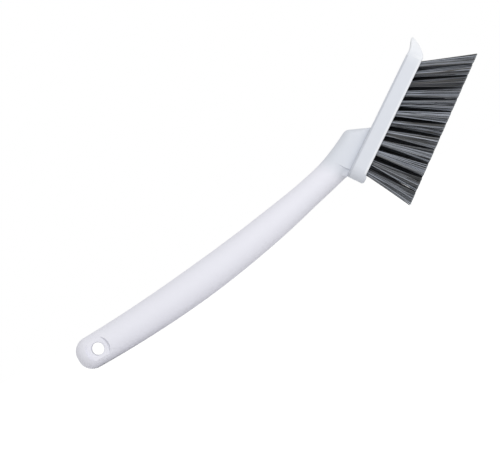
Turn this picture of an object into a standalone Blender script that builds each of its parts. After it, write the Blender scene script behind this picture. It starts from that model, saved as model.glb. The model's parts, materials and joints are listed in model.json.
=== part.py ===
"""Hand brush: a curved round handle, a straight block with a scraper nose, and its bristle tufts.

The head is modelled in its own frame. The heel end of the block is at x = 0, its bristle face at
z = 0, the nose points to +X and the tufts point down. One empty carries every piece and lays the
brush down as it rests on a table: on the heel edge of its bristles and the end of its handle.
"""

import math

import bmesh
import bpy
import numpy as np
from mathutils import Matrix, Vector

# Sizes are in metres and angles in degrees. A share is a part of the size that it follows.

# Fits
CLEARANCE = 0.0003              # between two pieces that touch on the real brush
OVERRUN = 0.003                 # how far a cutter runs past the surface that it cuts
MERGE_DISTANCE = 0.000003       # points closer than this become one

# Block: the straight bar that holds the tufts
BLOCK_LENGTH = 0.0849           # heel end to nose tip
BLOCK_WIDTH = 0.022
BLOCK_THICKNESS = 0.0089
BACK_EDGE_RADIUS = 0.0013
FACE_EDGE_RADIUS = 0.0005
HEEL_PLAN_RADIUS = 0.005        # corners of the heel end, seen from above
HEEL_EDGE_RADIUS = 0.0008
NOSE_LENGTH = 0.0104            # the stretch that thins to a scraper edge

# Nose stations: along the nose, then underside and back in thicknesses, then width
NOSE_SHARES = (
    (0.00, 0.00, 1.00, 1.00),
    (0.10, -0.015, 0.99, 1.00),
    (0.22, -0.04, 0.987, 0.99),
    (0.34, -0.005, 0.996, 0.965),
    (0.50, 0.135, 1.04, 0.91),
    (0.64, 0.32, 1.11, 0.845),
    (0.77, 0.55, 1.175, 0.765),
    (0.88, 0.775, 1.215, 0.68),
    (0.95, 0.935, 1.225, 0.61),
    (0.99, 1.035, 1.20, 0.56),
    (1.00, 1.08, 1.165, 0.54),
)

# Tufts: three staggered rows in blind holes, fanned towards the nose
HEEL_MARGIN = 0.00665           # heel end to the first tuft's centre
NOSE_MARGIN = 0.0019            # last tuft's centre to the start of the nose
SIDE_MARGIN = 0.0047            # side of the block to an outer row's centres
TUFT_PITCH = 0.00596
TUFT_DIAMETER = 0.0034
TUFT_PROUD = 0.0011             # how far a tuft stays bound before its strands part
HOLE_FLOOR = 0.0014             # plastic left between the holes and the handle's pocket
LEAN_HEEL_DEG = -4.0
LEAN_MIDDLE_DEG = 20.0
LEAN_NOSE_DEG = 32.0
SPLAY_DEG = 6.0                 # outward lean of the outer rows
TRIM_HEEL = 0.0291              # bristle height below the heel end
TRIM_NOSE = 0.0261              # bristle height below the nose tip

# Strands: thick stand-ins for the filaments, in two rings round a tuft's axis
INNER_STRANDS = 3
OUTER_STRANDS = 8
STRAND_SIDES = 3
INNER_RING_SHARE = 0.31         # of the tuft's radius
OUTER_RING_SHARE = 0.77
STRAND_SHARE = 0.21
TIP_FILL_SHARE = 0.44           # of the pitch between neighbouring tufts at their tips
ROOT_TAPER_SHARE = 0.6          # the folded root's end, of the tuft's radius

# Anchor: the flat wire that each tuft is folded over and driven in with
ANCHOR_THICKNESS = 0.0004
ANCHOR_HEIGHT = 0.0018
ANCHOR_END_GAP = 0.0001         # to the wall of the hole

# Neck: the wedge that stands on the block's back, with its foot seated in a pocket
FOOT_LENGTH = 0.0258
FOOT_WIDTH = 0.0130
FOOT_PLAN_RADIUS = 0.0016       # front corners of the foot, seen from above
POCKET_DEPTH = 0.0013           # the foot's seat in the block
NECK_HEIGHT = 0.0121            # block's back to the neck's top corner
NECK_TOP_SETBACK = 0.0072       # front of the foot to the top corner
NECK_TOP_WIDTH = 0.0142
NECK_REAR_STEP = 0.0004         # grip's front end to the back of the foot
NECK_TAPER_LENGTH = 0.009       # from the grip's width to the neck's
NECK_CORNER_RADIUS = 0.0028
NECK_CROWN_HEIGHT = 0.0046      # the rounded part of the section, at the top corner
NECK_CROWN_SHARE = 0.5          # most of the height that the rounded part may take
NECK_TOE_HEIGHT = 0.0004        # the small upright front of the toe

# Grip: a round bar, bent in one long arc
GRIP_START_X = 0.0034           # heel end to the grip's front end
GRIP_START_HEIGHT = 0.0076      # its centre line above the block's back there
GRIP_LENGTH = 0.179
GRIP_DIAMETER = 0.0196          # at its thickest
GRIP_START_SLOPE_DEG = 20.0
GRIP_END_SLOPE_DEG = 34.0
GRIP_SQUARE_LENGTH = 0.020      # over which the section turns square to the block
GRIP_FRONT_STRETCH = 0.0042     # the part that hangs over the block
GRIP_END_ROUNDING = 0.0082
GRIP_END_FLAT_SHARE = 0.12      # what stays flat at the very end, of the diameter

# Grip thickness: along the grip, then diameter
GRIP_SWELL_SHARES = (
    (0.00, 0.785),
    (0.13, 0.805),
    (0.20, 0.85),
    (0.28, 0.895),
    (0.35, 0.93),
    (0.42, 0.96),
    (0.56, 1.00),
    (0.74, 0.985),
    (1.00, 0.92),
)

# Hanging hole: crosses the grip near its end, between two flat lands
HANG_HOLE_DIAMETER = 0.007
HANG_HOLE_SETBACK = 0.0125      # from the end of the grip
HANG_HOLE_CHAMFER = 0.0008
LAND_DIAMETER = 0.0136
LAND_WIDTH = 0.0150             # between the two lands

# Facets
CORNER_STEPS = 3
PLAN_STEPS = 6
ROUND_SIDES = 24
WALL_STEPS = 3                  # down each side of the neck
HOLE_SIDES = 12
ROOT_SIDES = 8
GRIP_STEPS = 20
FRONT_STEPS = 4
DOME_STEPS = 6
SETTLE_STEPS = 60
SHARP_EDGE_DEG = 35.0           # edges that turn more than this stay sharp
STEEPEST_REST_DEG = 80.0        # where the search for the resting tilt starts

# Colours, linear
WHITE_PLASTIC = (0.74, 0.76, 0.81)
GREY_FILAMENT = (0.035, 0.038, 0.043)

# Sizes worked out from the ones above
half_width = BLOCK_WIDTH / 2
nose_start = BLOCK_LENGTH - NOSE_LENGTH
field_length = nose_start - HEEL_MARGIN - NOSE_MARGIN
row_offset = half_width - SIDE_MARGIN
tuft_count = round(field_length / TUFT_PITCH) + 1
tuft_step = field_length / (tuft_count - 1)
tuft_radius = TUFT_DIAMETER / 2
hole_radius = tuft_radius + CLEARANCE
hole_height = BLOCK_THICKNESS - POCKET_DEPTH - HOLE_FLOOR
strand_radius = STRAND_SHARE * tuft_radius
foot_bottom = BLOCK_THICKNESS - POCKET_DEPTH + CLEARANCE
foot_back = GRIP_START_X + NECK_REAR_STEP
foot_front = foot_back + FOOT_LENGTH
grip_start = Vector((GRIP_START_X, 0, BLOCK_THICKNESS + GRIP_START_HEIGHT))


def clear_scene():
    """Remove every object, mesh and collection that the file starts with."""
    for item in list(bpy.data.objects):
        bpy.data.objects.remove(item, do_unlink=True)
    for collection in list(bpy.data.collections):
        bpy.data.collections.remove(collection)


def make_collection(name):
    """Return a new collection linked to the scene."""
    collection = bpy.data.collections.new(name)
    bpy.context.scene.collection.children.link(collection)
    return collection


def make_material(name, colour, roughness):
    """Return a Principled material of one linear colour."""
    material = bpy.data.materials.new(name)
    material.use_nodes = True
    shader = material.node_tree.nodes["Principled BSDF"]
    shader.inputs["Base Color"].default_value = (*colour, 1.0)
    shader.inputs["Roughness"].default_value = roughness
    shader.inputs["Metallic"].default_value = 0.0
    return material


def make_object(name, mesh, collection, material=None):
    """Link a mesh to a collection as an object."""
    item = bpy.data.objects.new(name, mesh)
    collection.objects.link(item)
    if material:
        mesh.materials.clear()
        mesh.materials.append(material)
    return item


def finish_mesh(name, bm):
    """Turn a bmesh into a mesh whose faces point out."""
    bmesh.ops.recalc_face_normals(bm, faces=bm.faces)
    mesh = bpy.data.meshes.new(name)
    bm.to_mesh(mesh)
    bm.free()
    return mesh


def make_cutter(name, bm, cutters):
    """Keep a bmesh as a wire object that only cuts or joins."""
    item = make_object(name, finish_mesh(name, bm), cutters)
    item.hide_render = True
    item.display_type = "WIRE"
    return item


def evaluated_mesh(item):
    """Return the mesh that an object's modifiers or bevel make."""
    depsgraph = bpy.context.evaluated_depsgraph_get()
    return bpy.data.meshes.new_from_object(item.evaluated_get(depsgraph))


def combine(item, tool, operation):
    """Apply one exact Boolean and remove the tool."""
    modifier = item.modifiers.new(operation.lower(), "BOOLEAN")
    modifier.operation = operation
    modifier.solver = "EXACT"
    modifier.object = tool
    old_mesh = item.data
    new_mesh = evaluated_mesh(item)
    item.modifiers.clear()
    item.data = new_mesh
    bpy.data.meshes.remove(old_mesh)
    bpy.data.objects.remove(tool, do_unlink=True)


def shade_round(item):
    """Shade smooth and keep the sharp edges."""
    item.data.shade_smooth()
    item.data.set_sharp_from_angle(angle=math.radians(SHARP_EDGE_DEG))


def add_loft(bm, rings):
    """Add one closed body through rings of equally many points."""
    loops = [[bm.verts.new(point) for point in ring] for ring in rings]
    for near, far in zip(loops, loops[1:]):
        for i in range(len(near)):
            j = (i + 1) % len(near)
            bm.faces.new((near[i], near[j], far[j], far[i]))
    bm.faces.new(loops[0])
    bm.faces.new(loops[-1])


def circle_ring(radius, height, sides):
    """Return a ring round the Z axis."""
    turns = [2 * math.pi * i / sides for i in range(sides)]
    return [Vector((radius * math.cos(a), radius * math.sin(a), height)) for a in turns]


def section_ring(x, low, high, low_half, high_half, low_radius, high_radius):
    """Return a rounded four-sided section across the X axis.

    The side walls run from low_half at the bottom to high_half at the top. Radii are limited to
    what the section can hold.
    """
    room = (high - low) / 2
    bottom = min(low_radius, room, low_half)
    top = min(high_radius, room, high_half)
    corners = (
        (low_half - bottom, low + bottom, bottom, -90),
        (high_half - top, high - top, top, 0),
        (top - high_half, high - top, top, 90),
        (bottom - low_half, low + bottom, bottom, 180),
    )
    ring = []
    for y, z, radius, start_deg in corners:
        for step in range(CORNER_STEPS + 1):
            angle = math.radians(start_deg + 90 * step / CORNER_STEPS)
            ring.append(Vector((x, y + radius * math.cos(angle), z + radius * math.sin(angle))))
    return ring


def corner_inset(distance, radius):
    """Return how far a rounded corner has drawn in at a distance from the end."""
    if distance >= radius:
        return 0.0
    return radius - math.sqrt(radius ** 2 - (radius - distance) ** 2)


def rounding_stations(radius, steps):
    """Return distances from a rounded end, close together where it turns most."""
    turns = [math.pi / 2 * i / steps for i in range(steps + 1)]
    return [radius * (1 - math.cos(a)) for a in turns]


def interpolate(shares, place):
    """Return the smooth value of a table of (place, value) shares."""
    places = [row[0] for row in shares]
    values = [row[1] for row in shares]
    last = len(shares) - 1
    i = min(max(sum(1 for p in places if p <= place) - 1, 0), last - 1)
    t = (place - places[i]) / (places[i + 1] - places[i])
    before = values[max(i - 1, 0)]
    after = values[min(i + 2, last)]
    start, end = values[i], values[i + 1]
    slope_in = (end - before) / 2
    slope_out = (after - start) / 2
    return (
        (2 * t ** 3 - 3 * t ** 2 + 1) * start
        + (t ** 3 - 2 * t ** 2 + t) * slope_in
        + (3 * t ** 2 - 2 * t ** 3) * end
        + (t ** 3 - t ** 2) * slope_out
    )


def tuft_lean(share):
    """Return a tuft's lean towards the nose, in radians, from its share of the field."""
    heel, middle, nose = LEAN_HEEL_DEG, LEAN_MIDDLE_DEG, LEAN_NOSE_DEG
    bend = 2 * (heel + nose - 2 * middle)
    return math.radians(heel + (nose - heel) * share + bend * share * (share - 1))


def trim_height(x):
    """Return the trim plane's height at a distance from the heel end."""
    return -(TRIM_HEEL + (TRIM_NOSE - TRIM_HEEL) * x / BLOCK_LENGTH)


def tip_radius(share):
    """Return how wide a tuft opens at the trim, from the room between its neighbours."""
    reach = (TRIM_HEEL + TRIM_NOSE) / 2
    pitch_share = tuft_step / field_length
    lean = tuft_lean(share)
    ahead = tuft_lean(share + pitch_share / 2)
    behind = tuft_lean(share - pitch_share / 2)
    pitch = tuft_step + reach * (math.tan(ahead) - math.tan(behind))
    return TIP_FILL_SHARE * pitch * math.cos(lean)


def tuft_frame(share, row):
    """Return the placing of a tuft: origin on the bristle face, +Z along its strands."""
    place = Vector((HEEL_MARGIN + share * field_length, row * row_offset, 0))
    splay = row * math.radians(SPLAY_DEG)
    outward = Vector((math.tan(tuft_lean(share)), math.tan(splay), -1)).normalized()
    side = Vector((0, 1, 0))
    side = (side - outward * side.dot(outward)).normalized()
    ahead = side.cross(outward)
    turn = Matrix((ahead, side, outward)).transposed()
    return Matrix.Translation(place) @ turn.to_4x4()


def hole_depth(frame):
    """Return a hole's depth along its own axis, so that its floor keeps its thickness."""
    outward = frame.col[2].xyz
    drop = abs(outward.z)
    return (hole_height - hole_radius * math.sqrt(1 - drop ** 2)) / drop


def tuft_places():
    """Return (name, share of the field, row) for every tuft: the middle row is staggered."""
    places = []
    last = tuft_count - 1
    for row, label in ((-1, "right"), (0, "middle"), (1, "left")):
        count = tuft_count if row else last
        offset = 0.0 if row else 0.5
        for i in range(count):
            places.append((f"tuft_{label}_{i + 1:02d}", (i + offset) / last, row))
    return places


def hole_cutter(places, cutters):
    """Return all the blind tuft holes as one cutter."""
    bm = bmesh.new()
    radius = hole_radius / math.cos(math.pi / HOLE_SIDES)
    for _, share, row in places:
        frame = tuft_frame(share, row)
        rings = [circle_ring(radius, z, HOLE_SIDES) for z in (-hole_depth(frame), OVERRUN)]
        add_loft(bm, [[frame @ point for point in ring] for ring in rings])
    return make_cutter("tuft_holes", bm, cutters)


def pocket_cutter(cutters):
    """Return the shallow seat of the handle's foot."""
    bm = bmesh.new()
    radius = FOOT_PLAN_RADIUS + CLEARANCE
    half = FOOT_WIDTH / 2 + CLEARANCE
    low = BLOCK_THICKNESS - POCKET_DEPTH
    high = BLOCK_THICKNESS + OVERRUN
    rings = [section_ring(grip_start.x - CLEARANCE, low, high, half, half, 0, 0)]
    for distance in reversed(rounding_stations(radius, PLAN_STEPS)):
        inset = corner_inset(distance, radius)
        x = foot_front + CLEARANCE - distance
        rings.append(section_ring(x, low, high, half - inset, half - inset, 0, 0))
    add_loft(bm, rings)
    bmesh.ops.remove_doubles(bm, verts=bm.verts, dist=MERGE_DISTANCE)
    return make_cutter("foot_pocket", bm, cutters)


def make_block(places, parts, cutters, material):
    """Make the block: a bar with a rounded heel, a scraper nose, tuft holes and a pocket."""
    rings = []
    for distance in rounding_stations(HEEL_PLAN_RADIUS, PLAN_STEPS):
        half = half_width - corner_inset(distance, HEEL_PLAN_RADIUS)
        inset = corner_inset(distance, HEEL_EDGE_RADIUS)
        rings.append(section_ring(
            distance, inset, BLOCK_THICKNESS - inset, half, half, FACE_EDGE_RADIUS, BACK_EDGE_RADIUS))
    for along, low, high, width in NOSE_SHARES:
        half = width * half_width
        rings.append(section_ring(
            nose_start + along * NOSE_LENGTH, low * BLOCK_THICKNESS, high * BLOCK_THICKNESS,
            half, half, FACE_EDGE_RADIUS, BACK_EDGE_RADIUS))
    bm = bmesh.new()
    add_loft(bm, rings)
    block = make_object("brush_block", finish_mesh("brush_block", bm), parts, material)
    combine(block, pocket_cutter(cutters), "DIFFERENCE")
    combine(block, hole_cutter(places, cutters), "DIFFERENCE")
    shade_round(block)
    return block


def neck_top_line():
    """Return the neck's top and front as (x, z) points, with the corner between them rounded."""
    start = Vector((grip_start.x, grip_start.z + grip_radius(0) / math.cos(grip_slope(0))))
    corner = Vector((foot_front - NECK_TOP_SETBACK, BLOCK_THICKNESS + NECK_HEIGHT))
    toe = Vector((foot_front, BLOCK_THICKNESS + NECK_TOE_HEIGHT))
    back = (start - corner).normalized()
    down = (toe - corner).normalized()
    half_angle = back.angle(down) / 2
    reach = NECK_CORNER_RADIUS / math.tan(half_angle)
    centre = corner + (back + down).normalized() * NECK_CORNER_RADIUS / math.sin(half_angle)
    first = corner + back * reach - centre
    turn = math.pi - 2 * half_angle
    arc = []
    for i in range(PLAN_STEPS + 1):
        arc.append(centre + Matrix.Rotation(-turn * i / PLAN_STEPS, 2) @ first)
    return [start] + arc + [toe]


def height_on_line(line, x):
    """Return the height of a line of (x, z) points at x."""
    for start, end in zip(line, line[1:]):
        if x <= end.x:
            return start.y + (end.y - start.y) * (x - start.x) / (end.x - start.x)
    return line[-1].y


def grip_slope(distance):
    """Return the slope of the grip's centre line at a distance from its front end, in radians."""
    start = math.radians(GRIP_START_SLOPE_DEG)
    return start + (math.radians(GRIP_END_SLOPE_DEG) - start) * distance / GRIP_LENGTH


def grip_point(distance):
    """Return the grip's centre line at a distance from its front end: one circular arc."""
    start, slope = grip_slope(0), grip_slope(distance)
    bend_radius = GRIP_LENGTH / (grip_slope(GRIP_LENGTH) - start)
    x = bend_radius * (math.sin(start) - math.sin(slope))
    z = bend_radius * (math.cos(start) - math.cos(slope))
    return grip_start + Vector((x, 0, z))


def grip_radius(distance):
    """Return the grip's radius along its centre line, with its far end rounded."""
    radius = GRIP_DIAMETER / 2 * interpolate(GRIP_SWELL_SHARES, distance / GRIP_LENGTH)
    left = GRIP_LENGTH - distance
    if left < GRIP_END_ROUNDING:
        flat = GRIP_END_FLAT_SHARE * GRIP_DIAMETER / 2
        fullness = math.sqrt(1 - (1 - left / GRIP_END_ROUNDING) ** 2)
        radius = flat + (radius - flat) * fullness
    return radius


def grip_stations():
    """Return distances along the grip, close together over the block and in the rounded end."""
    front = [GRIP_FRONT_STRETCH * i / FRONT_STEPS for i in range(FRONT_STEPS)]
    end = [GRIP_LENGTH - left for left in reversed(rounding_stations(GRIP_END_ROUNDING, DOME_STEPS))]
    span = end[0] - GRIP_FRONT_STRETCH
    middle = [GRIP_FRONT_STRETCH + span * i / GRIP_STEPS for i in range(GRIP_STEPS)]
    return front + middle + end


def half_turn():
    """Return the angles of half a ring, with both of its ends."""
    steps = ROUND_SIDES // 2
    return [math.pi * i / steps for i in range(steps + 1)]


def grip_ring(distance):
    """Return a ring of the grip: round, square to the block in front, and flat over its back."""
    middle = grip_point(distance)
    slope = grip_slope(distance)
    tilt = slope * min(distance / GRIP_SQUARE_LENGTH, 1.0)
    up = Vector((math.sin(tilt), 0, math.cos(tilt)))
    half = grip_radius(distance)
    rise = half / math.cos(slope - tilt)
    ring = []
    for angle in half_turn():
        ring.append(middle + Vector((0, half * math.cos(angle), 0)) + up * rise * math.sin(angle))
    deepest = (middle.z - BLOCK_THICKNESS - CLEARANCE) / up.z
    for angle in half_turn()[1:-1]:
        across = Vector((0, half * math.cos(angle), 0))
        ring.append(middle - across - up * min(rise * math.sin(angle), deepest))
    return ring


def neck_ring(line, x):
    """Return a ring of the neck: a rounded top, two sides that draw in, and the foot's bottom."""
    corner_x = foot_front - NECK_TOP_SETBACK
    taper = min((x - grip_start.x) / NECK_TAPER_LENGTH, 1.0)
    top = height_on_line(line, x)
    full_crown = line[0].y - grip_start.z
    along = min((x - grip_start.x) / (corner_x - grip_start.x), 1.0)
    crown = full_crown + (NECK_CROWN_HEIGHT - full_crown) * along
    crown = min(crown, NECK_CROWN_SHARE * (top - BLOCK_THICKNESS))
    shoulder = top - crown
    half_top = grip_radius(0) + (NECK_TOP_WIDTH / 2 - grip_radius(0)) * taper
    inset = corner_inset(foot_front - x, FOOT_PLAN_RADIUS)
    half_foot = FOOT_WIDTH / 2 - inset
    lean = (shoulder - BLOCK_THICKNESS) / (grip_start.z - BLOCK_THICKNESS)
    half = half_foot + (half_top - half_foot - inset) * min(lean, 1.0)
    ring = []
    for angle in half_turn():
        ring.append(Vector((x, half * math.cos(angle), shoulder + crown * math.sin(angle))))
    side = []
    for i in range(1, WALL_STEPS + 1):
        share = i / WALL_STEPS
        y = half + (half_foot - half) * share ** 2
        z = shoulder + (BLOCK_THICKNESS - shoulder) * share
        side.append(Vector((x, y, z)))
    side += [Vector((x, half_foot, foot_bottom)), Vector((x, half_foot / 2, foot_bottom))]
    mirror = Matrix.Scale(-1, 3, (0, 1, 0))
    right = [mirror @ point for point in side]
    return ring + right + [Vector((x, 0, foot_bottom))] + side[::-1]


def handle_rings():
    """Return every ring of the handle, from its hanging end to the neck's toe."""
    line = neck_top_line()
    rings = [grip_ring(distance) for distance in reversed(grip_stations())]
    stations = {foot_back, grip_start.x + NECK_TAPER_LENGTH}
    stations.update(foot_front - left for left in rounding_stations(FOOT_PLAN_RADIUS, PLAN_STEPS))
    stations.update(point.x for point in line[1:-1])
    return rings + [neck_ring(line, x) for x in sorted(stations)]


def hang_hole_cutter(cutters):
    """Return the hanging hole, with chamfered mouths, and the two lands, as one cutter."""
    centre = grip_point(GRIP_LENGTH - HANG_HOLE_SETBACK)
    radius = HANG_HOLE_DIAMETER / 2
    mouth = radius + HANG_HOLE_CHAMFER
    land = LAND_DIAMETER / 2
    half = LAND_WIDTH / 2
    outside = GRIP_DIAMETER / 2 + OVERRUN
    profile = (
        (land, -outside), (land, -half), (mouth, -half), (radius, HANG_HOLE_CHAMFER - half),
        (radius, half - HANG_HOLE_CHAMFER), (mouth, half), (land, half), (land, outside),
    )
    across = Matrix.Translation(centre) @ Matrix.Rotation(math.pi / 2, 4, "X")
    bm = bmesh.new()
    rings = [[across @ p for p in circle_ring(r, z, ROUND_SIDES)] for r, z in profile]
    add_loft(bm, rings)
    return make_cutter("hang_hole", bm, cutters)


def make_handle(parts, cutters, material):
    """Make the handle: grip and neck in one moulding, with its hanging hole."""
    bm = bmesh.new()
    add_loft(bm, handle_rings())
    bmesh.ops.remove_doubles(bm, verts=bm.verts, dist=MERGE_DISTANCE)
    handle = make_object("handle", finish_mesh("handle", bm), parts, material)
    combine(handle, hang_hole_cutter(cutters), "DIFFERENCE")
    shade_round(handle)
    return handle


def add_strand(bm, spot, tip_scale, plane_point, plane_normal):
    """Add one strand, from inside the bound root to the trim plane, in the tuft's own frame."""
    root = Vector((spot.x, spot.y, 0))
    reach = abs(plane_point.z)
    tip = Vector((spot.x * tip_scale, spot.y * tip_scale, reach))
    along = (tip - root).normalized()
    first = [root + point for point in circle_ring(strand_radius, 0, STRAND_SIDES)]
    last = []
    for point in first:
        to_plane = (plane_point - point).dot(plane_normal) / along.dot(plane_normal)
        last.append(point + along * to_plane)
    add_loft(bm, [first, last])


def make_tuft(name, share, row, parts, cutters, material):
    """Make one tuft: its strands, its folded root and the anchor that holds it in its hole."""
    frame = tuft_frame(share, row)
    depth = hole_depth(frame) - CLEARANCE
    bm = bmesh.new()
    add_loft(bm, [
        circle_ring(tuft_radius * ROOT_TAPER_SHARE, -depth, ROOT_SIDES),
        circle_ring(tuft_radius, tuft_radius * ROOT_TAPER_SHARE - depth, ROOT_SIDES),
        circle_ring(tuft_radius, TUFT_PROUD, ROOT_SIDES),
    ])
    tuft = make_object(name, finish_mesh(name, bm), parts, material)

    inverse = frame.inverted()
    place = frame.translation
    outward = frame.col[2].xyz
    trim_slope = (TRIM_HEEL - TRIM_NOSE) / BLOCK_LENGTH
    normal = Vector((-trim_slope, 0, 1)).normalized()
    distance = (Vector((place.x, 0, trim_height(place.x))) - place).dot(normal) / outward.dot(normal)
    plane_point = Vector((0, 0, distance))
    plane_normal = (inverse.to_3x3() @ normal).normalized()
    open_radius = (tip_radius(share) - strand_radius) / OUTER_RING_SHARE
    tip_scale = open_radius / tuft_radius

    bm = bmesh.new()
    for count, ring_share in ((INNER_STRANDS, INNER_RING_SHARE), (OUTER_STRANDS, OUTER_RING_SHARE)):
        for spot in circle_ring(ring_share * tuft_radius, 0, count):
            add_strand(bm, spot, tip_scale, plane_point, plane_normal)
    half_anchor = hole_radius - ANCHOR_END_GAP
    anchor = (ANCHOR_THICKNESS, 2 * half_anchor, ANCHOR_HEIGHT)
    lift = tuft_radius * ROOT_TAPER_SHARE + ANCHOR_HEIGHT / 2 - depth
    box = Matrix.Translation((0, 0, lift)) @ Matrix.Diagonal((*anchor, 1))
    bmesh.ops.create_cube(bm, size=1, matrix=box)
    combine(tuft, make_cutter(f"{name}_strands", bm, cutters), "UNION")
    tuft.matrix_world = frame
    return tuft


def lowest(points, tilt):
    """Return the lowest height of points once the nose is raised by tilt."""
    return float((points[:, 0] * math.sin(tilt) + points[:, 2] * math.cos(tilt)).min())


def world_points(item):
    """Return an object's corners in world space."""
    return np.array([item.matrix_world @ vertex.co for vertex in item.data.vertices])


def lay_down(pieces, collection):
    """Parent the pieces to one empty and lay the brush on its bristles and its handle's end."""
    bpy.context.view_layer.update()
    handle = np.vstack([world_points(p) for p in pieces if p.name == "handle"])
    tufts = np.vstack([world_points(p) for p in pieces if p.name.startswith("tuft")])
    low, high = 0.0, math.radians(STEEPEST_REST_DEG)
    for _ in range(SETTLE_STEPS):
        tilt = (low + high) / 2
        if lowest(handle, tilt) > lowest(tufts, tilt):
            low = tilt
        else:
            high = tilt
    everything = np.vstack([world_points(p) for p in pieces])
    turn = Matrix.Rotation(-tilt, 4, "Y")
    turned = everything @ np.array(turn.to_3x3()).T
    middle = (turned.min(axis=0) + turned.max(axis=0)) / 2
    carrier = bpy.data.objects.new("resting_frame", None)
    collection.objects.link(carrier)
    for piece in pieces:
        piece.parent = carrier
    carrier.location = (-middle[0], -middle[1], -turned.min(axis=0)[2])
    carrier.rotation_euler = (0, -tilt, 0)


def main():
    """Build the whole brush."""
    clear_scene()
    parts = make_collection("hand_brush")
    cutters = make_collection("cutters")
    plastic = make_material("white_plastic", WHITE_PLASTIC, 0.42)
    filament = make_material("grey_filament", GREY_FILAMENT, 0.5)
    places = tuft_places()
    pieces = [make_handle(parts, cutters, plastic), make_block(places, parts, cutters, plastic)]
    for name, share, row in places:
        pieces.append(make_tuft(name, share, row, parts, cutters, filament))
    lay_down(pieces, parts)


main()
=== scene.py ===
"""The dressed hand brush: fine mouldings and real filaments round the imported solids.

Sizes are in metres and angles in degrees. The head has its own frame: the heel end of the block
at x = 0, its bristle face at z = 0, the nose towards +X and the tufts pointing down. One placing,
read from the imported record, lays every piece down with the solids.
"""

import json
import logging
import math
from abc import ABC, abstractmethod
from collections.abc import Callable, Iterable, Mapping, Sequence
from dataclasses import dataclass, field
from enum import Enum
from functools import partial
from typing import Any

import bmesh
import bpy
from mathutils import Matrix, Vector


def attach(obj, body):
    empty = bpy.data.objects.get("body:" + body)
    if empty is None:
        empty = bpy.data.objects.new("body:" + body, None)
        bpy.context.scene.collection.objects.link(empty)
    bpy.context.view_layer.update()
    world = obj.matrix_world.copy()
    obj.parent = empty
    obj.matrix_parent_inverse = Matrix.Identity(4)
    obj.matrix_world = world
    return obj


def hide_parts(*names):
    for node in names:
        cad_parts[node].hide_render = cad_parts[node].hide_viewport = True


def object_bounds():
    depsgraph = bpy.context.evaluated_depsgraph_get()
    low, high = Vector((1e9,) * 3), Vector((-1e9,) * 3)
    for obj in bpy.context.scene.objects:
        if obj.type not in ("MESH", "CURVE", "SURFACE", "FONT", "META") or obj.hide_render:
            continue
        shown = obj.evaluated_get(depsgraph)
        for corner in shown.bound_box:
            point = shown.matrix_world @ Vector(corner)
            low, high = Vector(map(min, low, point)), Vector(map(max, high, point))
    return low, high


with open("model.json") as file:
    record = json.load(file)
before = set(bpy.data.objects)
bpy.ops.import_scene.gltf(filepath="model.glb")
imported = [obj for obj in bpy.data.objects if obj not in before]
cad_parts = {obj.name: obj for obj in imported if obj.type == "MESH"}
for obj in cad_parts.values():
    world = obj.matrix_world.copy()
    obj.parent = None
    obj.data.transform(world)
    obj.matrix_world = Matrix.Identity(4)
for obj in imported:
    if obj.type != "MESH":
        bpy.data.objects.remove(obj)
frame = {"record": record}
cad_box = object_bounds()

LOG = logging.getLogger("hand_brush")
BODY = "root"
MM = 0.001
MERGE_DISTANCE = 0.000002
GOLDEN_SHARE = 0.618034
WHITE = (1.0, 1.0, 1.0, 1.0)

# The kinds of node that the trees use most.
VECTOR_MATH, COMBINE = "ShaderNodeVectorMath", "ShaderNodeCombineXYZ"
MIX, MAP_RANGE, NOISE = "ShaderNodeMix", "ShaderNodeMapRange", "ShaderNodeTexNoise"
ATTRIBUTE, DIFFUSE = "ShaderNodeAttribute", "ShaderNodeBsdfDiffuse"
READ, STORE = "GeometryNodeInputNamedAttribute", "GeometryNodeStoreNamedAttribute"
PLACE, INSTANCE = "GeometryNodeSetPosition", "GeometryNodeInstanceOnPoints"
REALIZE, CIRCLE = "GeometryNodeRealizeInstances", "GeometryNodeCurvePrimitiveCircle"
AXES, ROTATE = "FunctionNodeAxesToRotation", "FunctionNodeRotateVector"

Piece = bpy.types.Object
Material = bpy.types.Material
Socket = bpy.types.NodeSocket
Inputs = Mapping[str, Socket]
AddNode = Callable[..., Socket]
Ring = list[Vector]
Colour = tuple[float, float, float, float]

SOCKET_KINDS = {
    float: "NodeSocketFloat", int: "NodeSocketInt", Vector: "NodeSocketVector",
    Material: "NodeSocketMaterial",
}


class Slot(Enum):
    """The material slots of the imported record."""

    HANDLE = "handle"
    BLOCK = "brush_block"
    BRISTLE = "bristle"


class Row(Enum):
    """The three rows of tufts, by the side of the block that each stands on."""

    RIGHT = -1
    MIDDLE = 0
    LEFT = 1


def hex_colour(code: str) -> Colour:
    """Turn an sRGB hex colour into a linear one.

    Args:
        code: Six hex digits, with or without a leading hash.

    Returns:
        Linear red, green and blue, and an alpha of one.
    """
    digits = code.lstrip("#")
    shades = [int(digits[i:i + 2], 16) / 255 for i in (0, 2, 4)]
    linear = [s / 12.92 if s <= 0.04045 else ((s + 0.055) / 1.055) ** 2.4 for s in shades]
    return (*linear, 1.0)


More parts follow.
